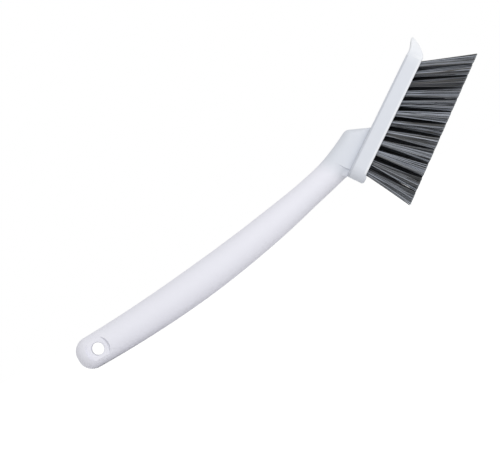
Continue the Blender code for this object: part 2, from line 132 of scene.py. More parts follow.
def add_node(
    tree: bpy.types.NodeTree,
    kind: str,
    *values: Any,
    named: Mapping[str, Any] | None = None,
    output: str | None = None,
    **settings: Any,
) -> Socket | None:
    """Add a node to a tree, with its settings, input values and links.

    Args:
        tree: The shader or geometry tree.
        kind: The node's type, or in capitals the operation of a Math node.
        *values: For each open input in turn, a value, a socket to link from, or None.
        named: The same for inputs that are given by name.
        output: The name of the output to return, if it isn't the first open one.
        **settings: The node's own properties, set before its inputs.

    Returns:
        The output, or None if the node has none.
    """
    if kind.isupper():
        kind, settings = "ShaderNodeMath", {"operation": kind}
    node = tree.nodes.new(kind)
    for name, value in settings.items():
        setattr(node, name, value)
    open_inputs = [socket for socket in node.inputs if not socket.is_unavailable]
    pairs = list(zip(open_inputs, values))
    for name, value in (named or {}).items():
        pairs.append((next(s for s in open_inputs if s.name == name), value))
    for socket, value in pairs:
        if isinstance(value, Socket):
            tree.links.new(value, socket)
        elif value is not None:
            socket.default_value = value
    outputs = (s for s in node.outputs if not s.is_unavailable)
    return next((s for s in outputs if output in (None, s.name)), None)


def open_tree(owner: Material | bpy.types.World) -> AddNode:
    """Empty the tree of a material or a world.

    Args:
        owner: The material or the world.

    Returns:
        What adds a node to the tree.
    """
    owner.use_nodes = True
    owner.node_tree.nodes.clear()
    return partial(add_node, owner.node_tree)


def grow(
    item: Piece, name: str, sizes: Mapping[str, Any], shape: Callable[[AddNode, Inputs], Socket]
) -> None:
    """Run a geometry tree on an object and keep the result as its plain mesh.

    Args:
        item: The object that the tree starts from.
        name: The tree's name.
        sizes: A value for each of the tree's named inputs, one of them the material.
        shape: Adds the tree's own nodes and returns the geometry that they make. It gets
            what adds a node, and the tree's inputs.
    """
    tree = bpy.data.node_groups.new(name, "GeometryNodeTree")
    tree.interface.new_socket("Geometry", in_out="INPUT", socket_type="NodeSocketGeometry")
    for label, value in sizes.items():
        tree.interface.new_socket(label, in_out="INPUT", socket_type=SOCKET_KINDS[type(value)])
    tree.interface.new_socket("Geometry", in_out="OUTPUT", socket_type="NodeSocketGeometry")
    add = partial(add_node, tree)
    given = add("NodeGroupInput").node.outputs
    real = add(REALIZE, shape(add, given))
    dressed = add("GeometryNodeSetMaterial", real, named={"Material": given["Material"]})
    add("NodeGroupOutput", dressed)
    modifier = item.modifiers.new(name, "NODES")
    modifier.node_group = tree
    for entry in tree.interface.items_tree:
        if entry.name in sizes:
            modifier[entry.identifier] = sizes[entry.name]
    bake_modifiers(item)


def bake_modifiers(item: Piece) -> None:
    """Swap an object's mesh for the one that its modifiers make, and remove them.

    Args:
        item: The object.
    """
    depsgraph = bpy.context.evaluated_depsgraph_get()
    mesh = bpy.data.meshes.new_from_object(item.evaluated_get(depsgraph))
    old_mesh = item.data
    item.modifiers.clear()
    item.data = mesh
    mesh.name = item.name
    bpy.data.meshes.remove(old_mesh)


def link_object(name: str, data: Any) -> Piece:
    """Link data to the scene as an object at the origin.

    Args:
        name: The object's name.
        data: A mesh, a lamp or a camera.

    Returns:
        The new object.
    """
    item = bpy.data.objects.new(name, data)
    bpy.context.scene.collection.objects.link(item)
    return item


def link_bmesh(name: str, bm: bmesh.types.BMesh) -> Piece:
    """Turn a closed bmesh into an object whose faces point out.

    Args:
        name: The object's name.
        bm: The bmesh, which is freed.

    Returns:
        The new object.
    """
    bmesh.ops.remove_doubles(bm, verts=bm.verts, dist=MERGE_DISTANCE)
    bmesh.ops.recalc_face_normals(bm, faces=bm.faces)
    mesh = bpy.data.meshes.new(name)
    bm.to_mesh(mesh)
    bm.free()
    return link_object(name, mesh)


def cut(item: Piece, tool: Piece) -> None:
    """Cut one object out of another and remove the tool.

    Args:
        item: The object that loses material.
        tool: The object that is cut away.
    """
    modifier = item.modifiers.new("cut", "BOOLEAN")
    modifier.operation = "DIFFERENCE"
    modifier.solver = "EXACT"
    modifier.object = tool
    bake_modifiers(item)
    bpy.data.objects.remove(tool, do_unlink=True)


def bevel(item: Piece, width: float, least_deg: float) -> None:
    """Round the edges of an object.

    Args:
        item: The object.
        width: The width of the rounding.
        least_deg: Edges that turn less than this stay as they are.
    """
    modifier = item.modifiers.new("rounding", "BEVEL")
    modifier.width = width
    modifier.segments = 2
    modifier.limit_method = "ANGLE"
    modifier.angle_limit = math.radians(least_deg)
    bake_modifiers(item)


def store_values(mesh: bpy.types.Mesh, name: str, values: Sequence[float | Vector]) -> None:
    """Store a number or a vector for every point of a mesh.

    Args:
        mesh: The mesh.
        name: The attribute's name, which a finish or a tree reads.
        values: One value a point.
    """
    is_vector = isinstance(values[0], Vector)
    attribute = mesh.attributes.new(name, "FLOAT_VECTOR" if is_vector else "FLOAT", "POINT")
    for entry, value in zip(attribute.data, values):
        setattr(entry, "vector" if is_vector else "value", value)


def loft(bm: bmesh.types.BMesh, rings: Sequence[Ring], first: bool = True) -> None:
    """Add a skin through rings of equally many points.

    Args:
        bm: The bmesh to add to.
        rings: The rings in order.
        first: Whether the first ring gets a face of its own, as the last one does.
    """
    loops = [[bm.verts.new(point) for point in ring] for ring in rings]
    for near, far in zip(loops, loops[1:]):
        for i in range(len(near)):
            j = (i + 1) % len(near)
            bm.faces.new((near[i], near[j], far[j], far[i]))
    if first:
        bm.faces.new(loops[0])
    bm.faces.new(loops[-1])


def corner_inset(distance: float, radius: float) -> float:
    """Return how far a rounded corner has drawn in at a distance from the end."""
    left = radius - distance
    return radius - math.sqrt(radius ** 2 - left ** 2) if left > 0 else 0.0


def rounding_stations(radius: float, steps: int) -> list[float]:
    """Return distances from a rounded end, close together where it turns most."""
    return [radius * (1 - math.cos(math.pi / 2 * i / steps)) for i in range(steps + 1)]


def smooth_step(share: float) -> float:
    """Return a soft rise from zero to one as share goes from zero to one."""
    share = min(max(share, 0.0), 1.0)
    return share ** 2 * (3 - 2 * share)


def smooth_value(table: Sequence[Sequence[float]], place: float, column: int = 1) -> float:
    """Read a smooth curve through a table of shares.

    Args:
        table: Rows of a place and its values, in rising order of place.
        place: Where to read.
        column: Which value to read.

    Returns:
        The value at that place.
    """
    last = len(table) - 1
    i = min(max(sum(1 for row in table if row[0] <= place) - 1, 0), last - 1)
    t = (place - table[i][0]) / (table[i + 1][0] - table[i][0])
    before, after = table[max(i - 1, 0)][column], table[min(i + 2, last)][column]
    start, end = table[i][column], table[i + 1][column]
    slope_in, slope_out = (end - before) / 2, (after - start) / 2
    return (
        (2 * t ** 3 - 3 * t ** 2 + 1) * start
        + (t ** 3 - 2 * t ** 2 + t) * slope_in
        + (3 * t ** 2 - 2 * t ** 3) * end
        + (t ** 3 - t ** 2) * slope_out
    )


def height_on_line(line: Sequence[Vector], x: float) -> float:
    """Read the height of a line at x.

    Args:
        line: Its (x, z) points, in rising order of x.
        x: Where to read.

    Returns:
        The height there.
    """
    for start, end in zip(line, line[1:]):
        if x <= end.x:
            return start.y + (end.y - start.y) * (x - start.x) / (end.x - start.x)
    return line[-1].y


def finish_piece(
    item: Piece,
    placing: Matrix,
    material: Material,
    nodes: Iterable[str] = (),
    sharp_deg: float = 35.0,
) -> None:
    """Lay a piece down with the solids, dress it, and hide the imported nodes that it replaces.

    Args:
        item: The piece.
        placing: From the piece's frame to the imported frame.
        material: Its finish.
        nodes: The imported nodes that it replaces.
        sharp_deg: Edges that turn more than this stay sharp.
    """
    item.data.transform(placing)
    item.data.shade_smooth()
    item.data.set_sharp_from_angle(angle=math.radians(sharp_deg))
    item.data.materials.clear()
    item.data.materials.append(material)
    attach(item, BODY)
    if nodes:
        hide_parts(*nodes)
    LOG.info("%s: %d faces", item.name, len(item.data.polygons))


@dataclass(frozen=True)
class Finish(ABC):
    """What every finish shares: a name, and a surface made of nodes."""

    name: str

    @abstractmethod
    def surface(self, add: AddNode) -> Socket:
        """Return the shader, from what adds a node to the material's tree."""

    def material(self) -> Material:
        """Make the material.

        Returns:
            The new material.
        """
        material = bpy.data.materials.new(self.name)
        add = open_tree(material)
        add("ShaderNodeOutputMaterial", self.surface(add))
        return material

    def layers(self, add: AddNode, base: str, *coats: tuple[Socket, str]) -> Colour | Socket:
        """Lay colours over one another.

        Args:
            add: Adds a node to the tree.
            base: The colour at the bottom.
            *coats: For each layer, its share and its colour.

        Returns:
            The colour on top.
        """
        tone = hex_colour(base)
        for share, colour in coats:
            tone = add(MIX, share, tone, hex_colour(colour), data_type="RGBA")
        return tone

    def specks(self, add: AddNode, size_mm: float, detail: float, rough: float = 0.5) -> Socket:
        """Return a pattern of soft specks on the piece.

        Args:
            add: Adds a node to the tree.
            size_mm: The size of the largest ones.
            detail: How many times finer specks are added.
            rough: How strong those are.

        Returns:
            The pattern's value.
        """
        place = add("ShaderNodeTexCoord", output="Object")
        return add(NOISE, place, named={
            "Scale": 1 / (size_mm * MM), "Detail": detail, "Roughness": rough})


@dataclass(frozen=True)
class MouldedPolypropylene(Finish):
    """White moulded polypropylene: satin, a little waxy, with a fine spark-eroded grain."""

    name: str = "moulded_polypropylene"
    body: str = "#DDE0E7"
    cool: str = "#D9DDE5"
    # The grip's painted sheen.
    handled: str = "#EBEBF3"
    # The colour of wear and of the painted highlight on edges.
    wear_and_highlight: str = "#F2F4F7"
    # The colour of the painted shade in creases and seams.
    crease: str = "#A3A8B2"
    # Patterns: the size in mm, the detail, and how strong the detail is.
    cloud: tuple[float, ...] = (22.0, 3.0)
    flow: tuple[float, ...] = (5.0, 4.0, 0.6)
    grain: tuple[float, ...] = (0.55, 2.0)
    flow_range: tuple[float, float] = (0.3, 0.7)
    gloss_range: tuple[float, float] = (0.44, 0.56)
    grain_height_mm: float = 0.012
    # How sharply the surface bends outwards and inwards, and how much that shows.
    outer_bend: tuple[float, float] = (0.53, 0.62)
    outer_wear: float = 0.3
    inner_bend: tuple[float, float] = (0.46, 0.36)
    inner_shade: float = 0.8
    refraction: float = 1.49
    mirror_level: float = 0.2

    def surface(self, add: AddNode) -> Socket:
        """Lay soft clouds of tone, worn edges, painted highlight, sheen and shade, and a grain that
        dulls the gloss.

        Args:
            add: Adds a node to the tree.

        Returns:
            The shader.
        """
        cloud = self.specks(add, *self.cloud)
        handled, rubbed, seam = (
            add(ATTRIBUTE, attribute_name=name, output="Fac")
            for name in ("handled", "rubbed", "seam"))
        # Handling polishes the outer edges, and a painted highlight is added; painted shade darkens
        # the inner ones and the seam.
        bend = add("ShaderNodeNewGeometry", output="Pointiness")
        outer = add(MAP_RANGE, bend, *self.outer_bend, 0.0, self.outer_wear)
        outer = add("MAXIMUM", outer, rubbed)
        inner = add(MAP_RANGE, bend, *self.inner_bend, 0.0, self.inner_shade)
        inner = add("MAXIMUM", inner, seam)
        # The grip gets a painted sheen, brighter than the body tone that the head keeps.
        tone = self.layers(
            add, self.body, (cloud, self.cool), (handled, self.handled), (outer, self.wear_and_highlight),
            (inner, self.crease))
        flow = self.specks(add, *self.flow)
        dullness = add(MAP_RANGE, flow, *self.flow_range, *self.gloss_range)
        # A real eroded grain is near 0.05 mm: this one is as coarse as it needs to be to show.
        grain = self.specks(add, *self.grain)
        bump = add("ShaderNodeBump", named={
            "Strength": 1.0, "Distance": self.grain_height_mm * MM, "Height": grain})
        return add("ShaderNodeBsdfPrincipled", named={
            "Base Color": tone, "Roughness": dullness, "Normal": bump, "IOR": self.refraction,
            "Specular IOR Level": self.mirror_level})


@dataclass(frozen=True)
class DrawnNylon(Finish):
    """Grey drawn nylon filament: smooth along its length, so each one throws its own glint."""

    name: str = "drawn_nylon"
    dark: str = "#0F1012"
    pale: str = "#BBC1CC"
    warm: str = "#7A766D"
    cut_end: str = "#8E9297"
    warm_from: float = 0.6
    warm_most: float = 0.5
    end_from: float = 0.975
    end_most: float = 0.7
    # The painted shade of a sheltered tuft at its root and at its tip, and the mirror level that is
    # left.
    painted_gloom_range: tuple[float, float] = (0.93, 0.744)
    mirror_range: tuple[float, float] = (0.6, 0.05)
    roughness: float = 0.29
    refraction: float = 1.53

    def surface(self, add: AddNode) -> Socket:
        """Give every filament a grey of its own, with paler cut ends and painted shade in the
        middle row.

        Args:
            add: Adds a node to the tree.

        Returns:
            The shader.
        """
        shade, tint, reach, sheltered = (
            add(ATTRIBUTE, attribute_name=name, output="Fac")
            for name in ("shade", "tint", "reach", "sheltered"))
        warmth = add(MAP_RANGE, tint, self.warm_from, 1.0, 0.0, self.warm_most)
        ends = add(MAP_RANGE, reach, self.end_from, 1.0, 0.0, self.end_most)
        # Painted shade darkens the sheltered middle row, most of all near the block.
        painted_gloom = add(MAP_RANGE, reach, 0.0, 1.0, *self.painted_gloom_range)
        painted_gloom = add("MULTIPLY", sheltered, painted_gloom)
        tone = self.layers(
            add, self.dark, (shade, self.pale), (warmth, self.warm), (ends, self.cut_end),
            (painted_gloom, self.dark))
        return add("ShaderNodeBsdfPrincipled", named={
            "Base Color": tone, "Roughness": self.roughness, "IOR": self.refraction,
            "Specular IOR Level": add(MAP_RANGE, painted_gloom, 0.0, 1.0, *self.mirror_range)})


@dataclass(frozen=True)
class GalvanisedWire(Finish):
    """Flat galvanised steel wire: dull silver with the soft mottle of its zinc."""

    name: str = "galvanised_wire"
    bright: str = "#C9CCCF"
    dull: str = "#9DA2A6"
    mottle: tuple[float, ...] = (0.8, 2.0)
    mottle_range: tuple[float, float] = (0.3, 0.7)
    gloss_range: tuple[float, float] = (0.3, 0.5)

    def surface(self, add: AddNode) -> Socket:
        """Vary the tone and gloss of the zinc's crystals.

        Args:
            add: Adds a node to the tree.

        Returns:
            The shader.
        """
        mottle = self.specks(add, *self.mottle)
        return add("ShaderNodeBsdfPrincipled", named={
            "Base Color": self.layers(add, self.bright, (mottle, self.dull)), "Metallic": 1.0,
            "Roughness": add(MAP_RANGE, mottle, *self.mottle_range, *self.gloss_range)})


@dataclass(frozen=True)
class StudioFloor(Finish):
    """Matt studio floor: white to the camera but for the brush's shadow."""

    name: str = "pale_floor"
    paint: str = "#EFEFEF"
    seen_paint: str = "#C8C8C8"
    glow: float = 0.7

    def surface(self, add: AddNode) -> Socket:
        """Paint the floor pale, and for rays that look at it white at the studio's light.

        Args:
            add: Adds a node to the tree.

        Returns:
            The shader.
        """
        # What the camera sees is white at the studio's light, and falls off only in the shadow.
        paint = add(DIFFUSE, hex_colour(self.paint))
        shaded = add(DIFFUSE, hex_colour(self.seen_paint))
        seen = add("ShaderNodeAddShader", shaded, add("ShaderNodeEmission", WHITE, self.glow))
        return add("ShaderNodeMixShader", seen_rays(add), paint, seen)


def seen_rays(add: AddNode) -> Socket:
    """Tell the rays that look at the studio from those that light it.

    Args:
        add: Adds a node to the tree.

    Returns:
        One for camera, glossy and transmission rays, and zero for the others.
    """
    path = add("ShaderNodeLightPath").node.outputs
    seen = add("MAXIMUM", path["Is Camera Ray"], path["Is Glossy Ray"])
    return add("MAXIMUM", seen, path["Is Transmission Ray"])


@dataclass(frozen=True)
class BrushBlock:
    """The block: a straight bar with a rounded heel, a lifted scraper nose and blind tuft holes."""

    length: float = 0.0844
    width: float = 0.022
    thickness: float = 0.0089
    pocket_depth: float = 0.0013
    back_edge_radius: float = 0.0013
    face_edge_radius: float = 0.0005
    heel_plan_radius: float = 0.008
    heel_face_radius: float = 0.0013
    heel_back_radius: float = 0.0004
    heel_lip_drop: float = 0.0009
    heel_lip_length: float = 0.0052
    heel_lip_fade: float = 0.0018
    # Painted shade lies along the rounding of the back edge, and a painted highlight brightens the
    # one by the bristles, and the nose.
    edge_shade: float = 0.40
    edge_share: float = 0.999
    edge_highlight: float = 0.75
    nose_highlight: float = 0.9
    nose_highlight_lead: float = 0.006
    highlight_heights: tuple[float, ...] = (0.0010, 0.0015)
    nose_length: float = 0.0099
    nose_lip_radius: float = 0.00025
    mouth_bevel: float = 0.00012
    # Edges that turn more than this get the bevel, as the mouths of the holes and pocket do.
    mouth_least_deg: float = 48.0
    corner_steps: int = 8
    plan_steps: int = 16
    nose_steps: int = 44
    # Along the nose, then underside and back in thicknesses, then half widths.
    nose_shares: tuple[tuple[float, float, float, float], ...] = (
        (0.00, 0.00, 1.00, 1.00),
        (0.10, -0.01, 0.985, 1.00),
        (0.20, 0.00, 0.972, 0.99),
        (0.31, 0.06, 0.976, 0.97),
        (0.42, 0.15, 0.995, 0.94),
        (0.53, 0.27, 1.03, 0.895),
        (0.64, 0.405, 1.075, 0.84),
        (0.75, 0.56, 1.12, 0.775),
        (0.86, 0.755, 1.155, 0.695),
        (0.94, 0.925, 1.168, 0.62),
        (1.00, 1.06, 1.15, 0.54),
    )

    @property
    def nose_start(self) -> float:
        """Where the bar ends and the nose begins."""
        return self.length - self.nose_length

    def section(self, x: float, low: float, high: float, half: float, inset: float = 0.0) -> Ring:
        """Return a rounded four-sided section across the bar.

        Args:
            x: Distance from the heel end.
            low: Height of the underside.
            high: Height of the back.
            half: Half of the width.
            inset: How far every side has drawn in.

        Returns:
            The ring of points.
        """
        low, high, half = low + inset, high - inset, half - inset
        room = (high - low) / 2
        bottom = min(self.face_edge_radius, room)
        top = min(self.back_edge_radius, room)
        corners = (
            (half - bottom, low + bottom, bottom, -90),
            (half - top, high - top, top, 0),
            (top - half, high - top, top, 90),
            (bottom - half, low + bottom, bottom, 180),
        )
        ring = []
        for y, z, radius, start_deg in corners:
            for step in range(self.corner_steps + 1):
                turn = math.radians(start_deg + 90 * step / self.corner_steps)
                ring.append(Vector((x, y + radius * math.cos(turn), z + radius * math.sin(turn))))
        # A few more points on each side, just above the edge that gets the painted highlight.
        side = [Vector((x, half, min(low + height, high - top))) for height in self.highlight_heights]
        mirror = [Vector((x, -point.y, point.z)) for point in reversed(side)]
        steps = self.corner_steps + 1
        return ring[:steps] + side + ring[steps:3 * steps] + mirror + ring[3 * steps:]

    def rings(self) -> list[Ring]:
        """Lay out every section of the bar, from its heel to its nose.

        Returns:
            The rings of points.
        """
        half_width = self.width / 2
        rings = []
        for distance in rounding_stations(self.heel_plan_radius, self.plan_steps):
            half = half_width - corner_inset(distance, self.heel_plan_radius)
            lip = smooth_step((self.heel_lip_length - distance) / self.heel_lip_fade)
            low = corner_inset(distance, self.heel_face_radius) - self.heel_lip_drop * lip
            high = self.thickness - corner_inset(distance, self.heel_back_radius)
            rings.append(self.section(distance, low, high, half))
        for i in range(self.plan_steps // 2):
            lead = self.nose_highlight_lead * (1 - 2 * i / self.plan_steps)
            rings.append(self.section(self.nose_start - lead, 0.0, self.thickness, half_width))
        rounding = rounding_stations(self.nose_lip_radius, self.corner_steps)
        spans = [self.nose_length - distance for distance in reversed(rounding)]
        straight = [spans[0] * i / self.nose_steps for i in range(self.nose_steps)]
        for distance in straight + spans:
            low, high, width = (
                smooth_value(self.nose_shares, distance / self.nose_length, column)
                for column in (1, 2, 3)
            )
            inset = corner_inset(self.nose_length - distance, self.nose_lip_radius)
            rings.append(self.section(
                self.nose_start + distance, low * self.thickness, high * self.thickness,
                width * half_width, inset))
        return rings

    def painted_back_shade(self, point: Vector) -> float:
        """Work out how much painted shade lies along the rounding of the back edge.

        Args:
            point: A point of the block.

        Returns:
            The painted shade at that point, from zero to one.
        """
        up = (point.z - self.thickness) / self.back_edge_radius + 1
        on_rounding = 0 < up < self.edge_share and abs(point.y) > self.width / 4
        if on_rounding and point.x < self.nose_start:
            return self.edge_shade * math.sin(math.pi * up)
        return 0.0

    def painted_highlight_at(self, point: Vector) -> float:
        """Work out the painted highlight on the edge by the bristles, and on the nose.

        Args:
            point: A point of the block.

        Returns:
            The rub at that point, from zero to one.
        """
        outside = abs(point.y) > self.width / 2 - self.face_edge_radius
        low_edge = outside and point.z < self.highlight_heights[-1] - MERGE_DISTANCE
        nose = smooth_step((point.x - self.length) / (self.nose_length + self.nose_highlight_lead) + 1)
        return max(self.edge_highlight * low_edge, self.nose_highlight * nose)

    def build(self, placing: Matrix, plastic: Material, cutters: Sequence[Piece]) -> None:
        """Make the block's moulding.

        Args:
            placing: From the head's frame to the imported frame.
            plastic: Its finish.
            cutters: The foot's pocket and the tuft holes.
        """
        bm = bmesh.new()
        loft(bm, self.rings())
        item = link_bmesh("block_moulding", bm)
        for tool in cutters:
            cut(item, tool)
        bevel(item, self.mouth_bevel, self.mouth_least_deg)
        points = [vertex.co for vertex in item.data.vertices]
        # The back edge's painted shade.
        store_values(item.data, "seam", [self.painted_back_shade(point) for point in points])
        # The painted highlight on the edge by the bristles, and on the nose.
        store_values(item.data, "rubbed", [self.painted_highlight_at(point) for point in points])
        finish_piece(item, placing, plastic, ["brush_block"])


@dataclass(frozen=True)
class Tuft:
    """One tuft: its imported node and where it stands."""

    node: str
    row: Row
    share: float
    placing: Matrix


@dataclass(frozen=True)
class TuftField:
    """The tufts: three staggered rows in tilted blind holes, fanned towards the nose."""

    block: BrushBlock
    # From the heel end, the nose's start and the sides to the nearest tufts' centres.
    heel_margin: float = 0.00665
    nose_margin: float = 0.0019
    side_margin: float = 0.0047
    pitch: float = 0.00596
    # A tuft is round in its hole, and stays so until it stands this proud of the block.
    tuft_diameter: float = 0.0034
    proud: float = 0.0011
    hole_gap: float = 0.0003
    hole_floor: float = 0.0014
    hole_sides: int = 32
    drill_overrun: float = 0.003
    lean_heel_deg: float = -4.0
    lean_middle_deg: float = 20.0
    lean_nose_deg: float = 32.0
    splay_deg: float = 6.0
    trim_heel: float = 0.0291
    trim_nose: float = 0.0261
    tip_fill_share: float = 0.45
    anchor_size: tuple[float, float, float] = (0.0004, 0.0038, 0.0018)
    anchor_edge: float = 0.00006
    anchor_least_deg: float = 30.0
    filament_diameter: float = 0.0003
    folded_filaments: int = 46
    filament_points: int = 21
    filament_sides: int = 4
    # Shares of half a filament: round under the anchor, and then up to the mouth of the hole.
    fold_share: float = 0.2
    bound_share: float = 0.3
    fold_taper: float = 0.6
    widen_power: float = 1.15
    drift_power: float = 1.4
    # Tips wander by a few tenths of a millimetre, a rare one much more, and some are cut short.
    wander: float = 0.0003
    wander_least: float = 0.9
    wander_more: float = 2.0
    wander_power: float = 7.0
    bow: float = 0.0003
    uneven_trim: float = 0.00025
    uneven_power: float = 2.5
    # Neighbours drift together in clumps and share most of their tone, and a few get a painted
    # glint.
    clump_size: float = 0.0009
    clump_detail: float = 2.0
    clump_range: tuple[float, float] = (0.48, 0.595)
    gather: float = 0.0034
    own_tone: float = 0.2
    painted_glint_from: float = 0.93
    painted_glint_lift: float = 0.4
    # How sheltered the middle row is at its ends, and how much more so with each step inwards: the
    # nylon paints shade by it.
    end_shelter: float = 0.6
    shelter_step: float = 0.4
    sharp_deg: float = 80.0
    seed: int = 7
    row_seed_step: int = 100
    draw_seed_step: int = 17

    @property
    def length(self) -> float:
        """From the first tuft's centre to the last one's."""
        return self.block.nose_start - self.heel_margin - self.nose_margin

    @property
    def count(self) -> int:
        """Tufts in an outer row."""
        return round(self.length / self.pitch) + 1

    @property
    def tuft_radius(self) -> float:
        """The radius of a bound tuft."""
        return self.tuft_diameter / 2

    @property
    def hole_radius(self) -> float:
        """The radius of a blind hole."""
        return self.tuft_radius + self.hole_gap

    def lean(self, share: float) -> float:
        """Work out how far a tuft leans towards the nose.

        Args:
            share: Its share of the way from the first tuft to the last.

        Returns:
            The lean in radians.
        """
        heel, middle, nose = self.lean_heel_deg, self.lean_middle_deg, self.lean_nose_deg
        bend = 2 * (heel + nose - 2 * middle)
        return math.radians(heel + (nose - heel) * share + bend * share * (share - 1))

    def tip_radius(self, share: float) -> float:
        """Work out how wide a tuft opens at the trim, from the room between its neighbours.

        Args:
            share: Its share of the way from the first tuft to the last.

        Returns:
            The radius there.
        """
        reach = (self.trim_heel + self.trim_nose) / 2
        step = self.length / (self.count - 1)
        half_step = step / self.length / 2
        spread = math.tan(self.lean(share + half_step)) - math.tan(self.lean(share - half_step))
        return self.tip_fill_share * (step + reach * spread) * math.cos(self.lean(share))

    def stand(self, share: float, row: Row) -> Matrix:
        """Place a tuft: origin on the bristle face, +Z along its filaments.

        Args:
            share: Its share of the way from the first tuft to the last.
            row: Its row.

        Returns:
            The placing in the head's frame.
        """
        y = row.value * (self.block.width / 2 - self.side_margin)
        splay = row.value * math.radians(self.splay_deg)
        outward = Vector((math.tan(self.lean(share)), math.tan(splay), -1)).normalized()
        side = Vector((0, 1, 0))
        side = (side - outward * side.dot(outward)).normalized()
        turn = Matrix((side.cross(outward), side, outward)).transposed().to_4x4()
        return Matrix.Translation((self.heel_margin + share * self.length, y, 0)) @ turn

    def hole_depth(self, tuft: Tuft) -> float:
        """Work out a hole's depth along its own axis, so that its floor keeps its thickness.

        Args:
            tuft: The tuft in the hole.

        Returns:
            The depth.
        """
        drop = abs(tuft.placing.col[2].z)
        height = self.block.thickness - self.block.pocket_depth - self.hole_floor
        return (height - self.hole_radius * math.sqrt(1 - drop ** 2)) / drop

    def opening(self, tuft: Tuft) -> float:
        """Return how many times wider a tuft's filaments stand at the trim than at the root."""
        inside = self.filament_diameter / 2
        return (self.tip_radius(tuft.share) - inside) / (self.tuft_radius - inside)

    def sheltered(self, tuft: Tuft) -> float:
        """Return how deep a tuft stands among the others: zero in the outer rows."""
        steps = min(tuft.share, 1 - tuft.share) * (self.count - 1)
        return 0.0 if tuft.row.value else min(self.end_shelter + self.shelter_step * steps, 1.0)

    def tufts(self) -> list[Tuft]:
        """Place every tuft: the middle row stands half a pitch off the outer ones.

        Returns:
            The tufts, row by row from the heel.
        """
        found = []
        last = self.count - 1
        for row in Row:
            offset = 0.0 if row.value else 0.5
            for i in range(self.count if row.value else last):
                share = (i + offset) / last
                node = f"tuft_{row.name.lower()}_{i + 1:02d}"
                found.append(Tuft(node, row, share, self.stand(share, row)))
        return found

    def stations(self, name: str, tufts: Sequence[Tuft], placing: Matrix) -> Piece:
        """Make a mesh of one point a tuft, which carries what the trees need.

        Args:
            name: The object's name.
            tufts: The tufts that get a point.
            placing: From the head's frame to the frame that the points are in.

        Returns:
            The object, with the tufts' axes and measures as attributes.
        """
        mesh = bpy.data.meshes.new(name)
        places = [placing @ tuft.placing for tuft in tufts]
        mesh.from_pydata([place.translation for place in places], [], [])
        for label, axis in (("ahead", 0), ("outward", 2)):
            store_values(mesh, label, [place.col[axis].xyz for place in places])
        for label, measure in (
            ("opening", self.opening), ("depth", self.hole_depth), ("sheltered", self.sheltered),
        ):
            store_values(mesh, label, [measure(tuft) for tuft in tufts])
        return link_object(name, mesh)

    def stand_copies(
        self, add: AddNode, given: Inputs, copied: Socket, away: Socket, tall: Socket | float = 1.0
    ) -> Socket:
        """Stand a copy of a shape at every tuft, turned with it.

        Args:
            add: Adds a node to the tree.
            given: The tree's inputs.
            copied: The shape.
            away: How far out of the block each copy is moved.
            tall: How much longer it gets along the tuft.

        Returns:
            The copies.
        """
        ahead, outward = (
            add(READ, name, data_type="FLOAT_VECTOR") for name in ("ahead", "outward"))
        move = add(VECTOR_MATH, outward, away, operation="SCALE")
        return add(INSTANCE, add(PLACE, given["Geometry"], named={"Offset": move}), named={
            "Instance": copied, "Scale": add(COMBINE, 1.0, 1.0, tall),
            "Rotation": add(AXES, outward, ahead, primary_axis="Z", secondary_axis="X")})

    def drills(self, add: AddNode, given: Inputs) -> Socket:
        """Stand one drill at every tuft, to cut the blind holes.

        Args:
            add: Adds a node to the tree.
            given: The tree's inputs.

        Returns:
            The drills.
        """
        drill = add("GeometryNodeMeshCylinder", given["Sides"], 1, 1, given["Radius"], 1.0)
        drill = add("GeometryNodeTransform", drill, named={"Translation": (0, 0, -0.5)})
        reach = add("ADD", add(READ, "depth"), given["Overrun"])
        return self.stand_copies(add, given, drill, given["Overrun"], reach)

    def anchors(self, add: AddNode, given: Inputs) -> Socket:
        """Lay one flat anchor across every hole.

        Args:
            add: Adds a node to the tree.
            given: The tree's inputs.

        Returns:
            The anchors.
        """
        below = add("SUBTRACT", given["Fold Depth"], add(READ, "depth"))
        plate = add("GeometryNodeMeshCube", given["Size"], 2, 2, 2)
        return self.stand_copies(add, given, plate, below)

    def lines(self, add: AddNode, given: Inputs) -> Socket:
        """Make one short line of points for every filament, all lying on its tuft's point.

        Args:
            add: Adds a node to the tree.
            given: The tree's inputs.

        Returns:
            The lines.
        """
        index = add("GeometryNodeInputIndex")
        copies = add(
            "GeometryNodeDuplicateElements", given["Geometry"], True, given["Filaments"])
        copies = copies.node.outputs
        points = copies["Geometry"]
        for name, value in (("number", copies["Duplicate Index"]), ("filament", index)):
            points = add(STORE, points, True, name, value, data_type="INT")
        line = add("GeometryNodeMeshLine", given["Points"], (0, 0, 0), (0, 0, 0))
        along = add("DIVIDE", index, add("SUBTRACT", given["Points"], 1.0))
        line = add(STORE, line, True, "along", along)
        return add(REALIZE, add(INSTANCE, points, named={"Instance": line}))

    def filaments(self, add: AddNode, given: Inputs) -> Socket:
        """Return the nodes that grow folded filaments from every tuft's point.

        Each filament runs from one cut end down into the hole, round under the anchor, and back
        up to its other cut end. Both ends lie on the trim plane.

        Args:
            add: Adds a node to the tree.
            given: The tree's inputs.

        Returns:
            The filaments' skin.
        """
        along, number, filament, opening, depth, ahead, outward = (
            add(READ, name, data_type=kind) for name, kind in (
                ("along", "FLOAT"), ("number", "INT"), ("filament", "INT"), ("opening", "FLOAT"),
                ("depth", "FLOAT"), ("ahead", "FLOAT_VECTOR"), ("outward", "FLOAT_VECTOR")))

        # Which half of the fold, and how far from its middle: round the anchor, up the hole, free.
        signed = add("MULTIPLY_ADD", along, 2.0, -1.0)
        half, away = add("SIGN", signed), add("ABSOLUTE", signed)
        turned = add(MAP_RANGE, away, 0.0, self.fold_share, 0.0, math.pi / 2)
        bound = add(MAP_RANGE, away, self.fold_share, self.bound_share, 0.0, 1.0)
        free = add(MAP_RANGE, away, self.bound_share, 1.0, 0.0, 1.0)

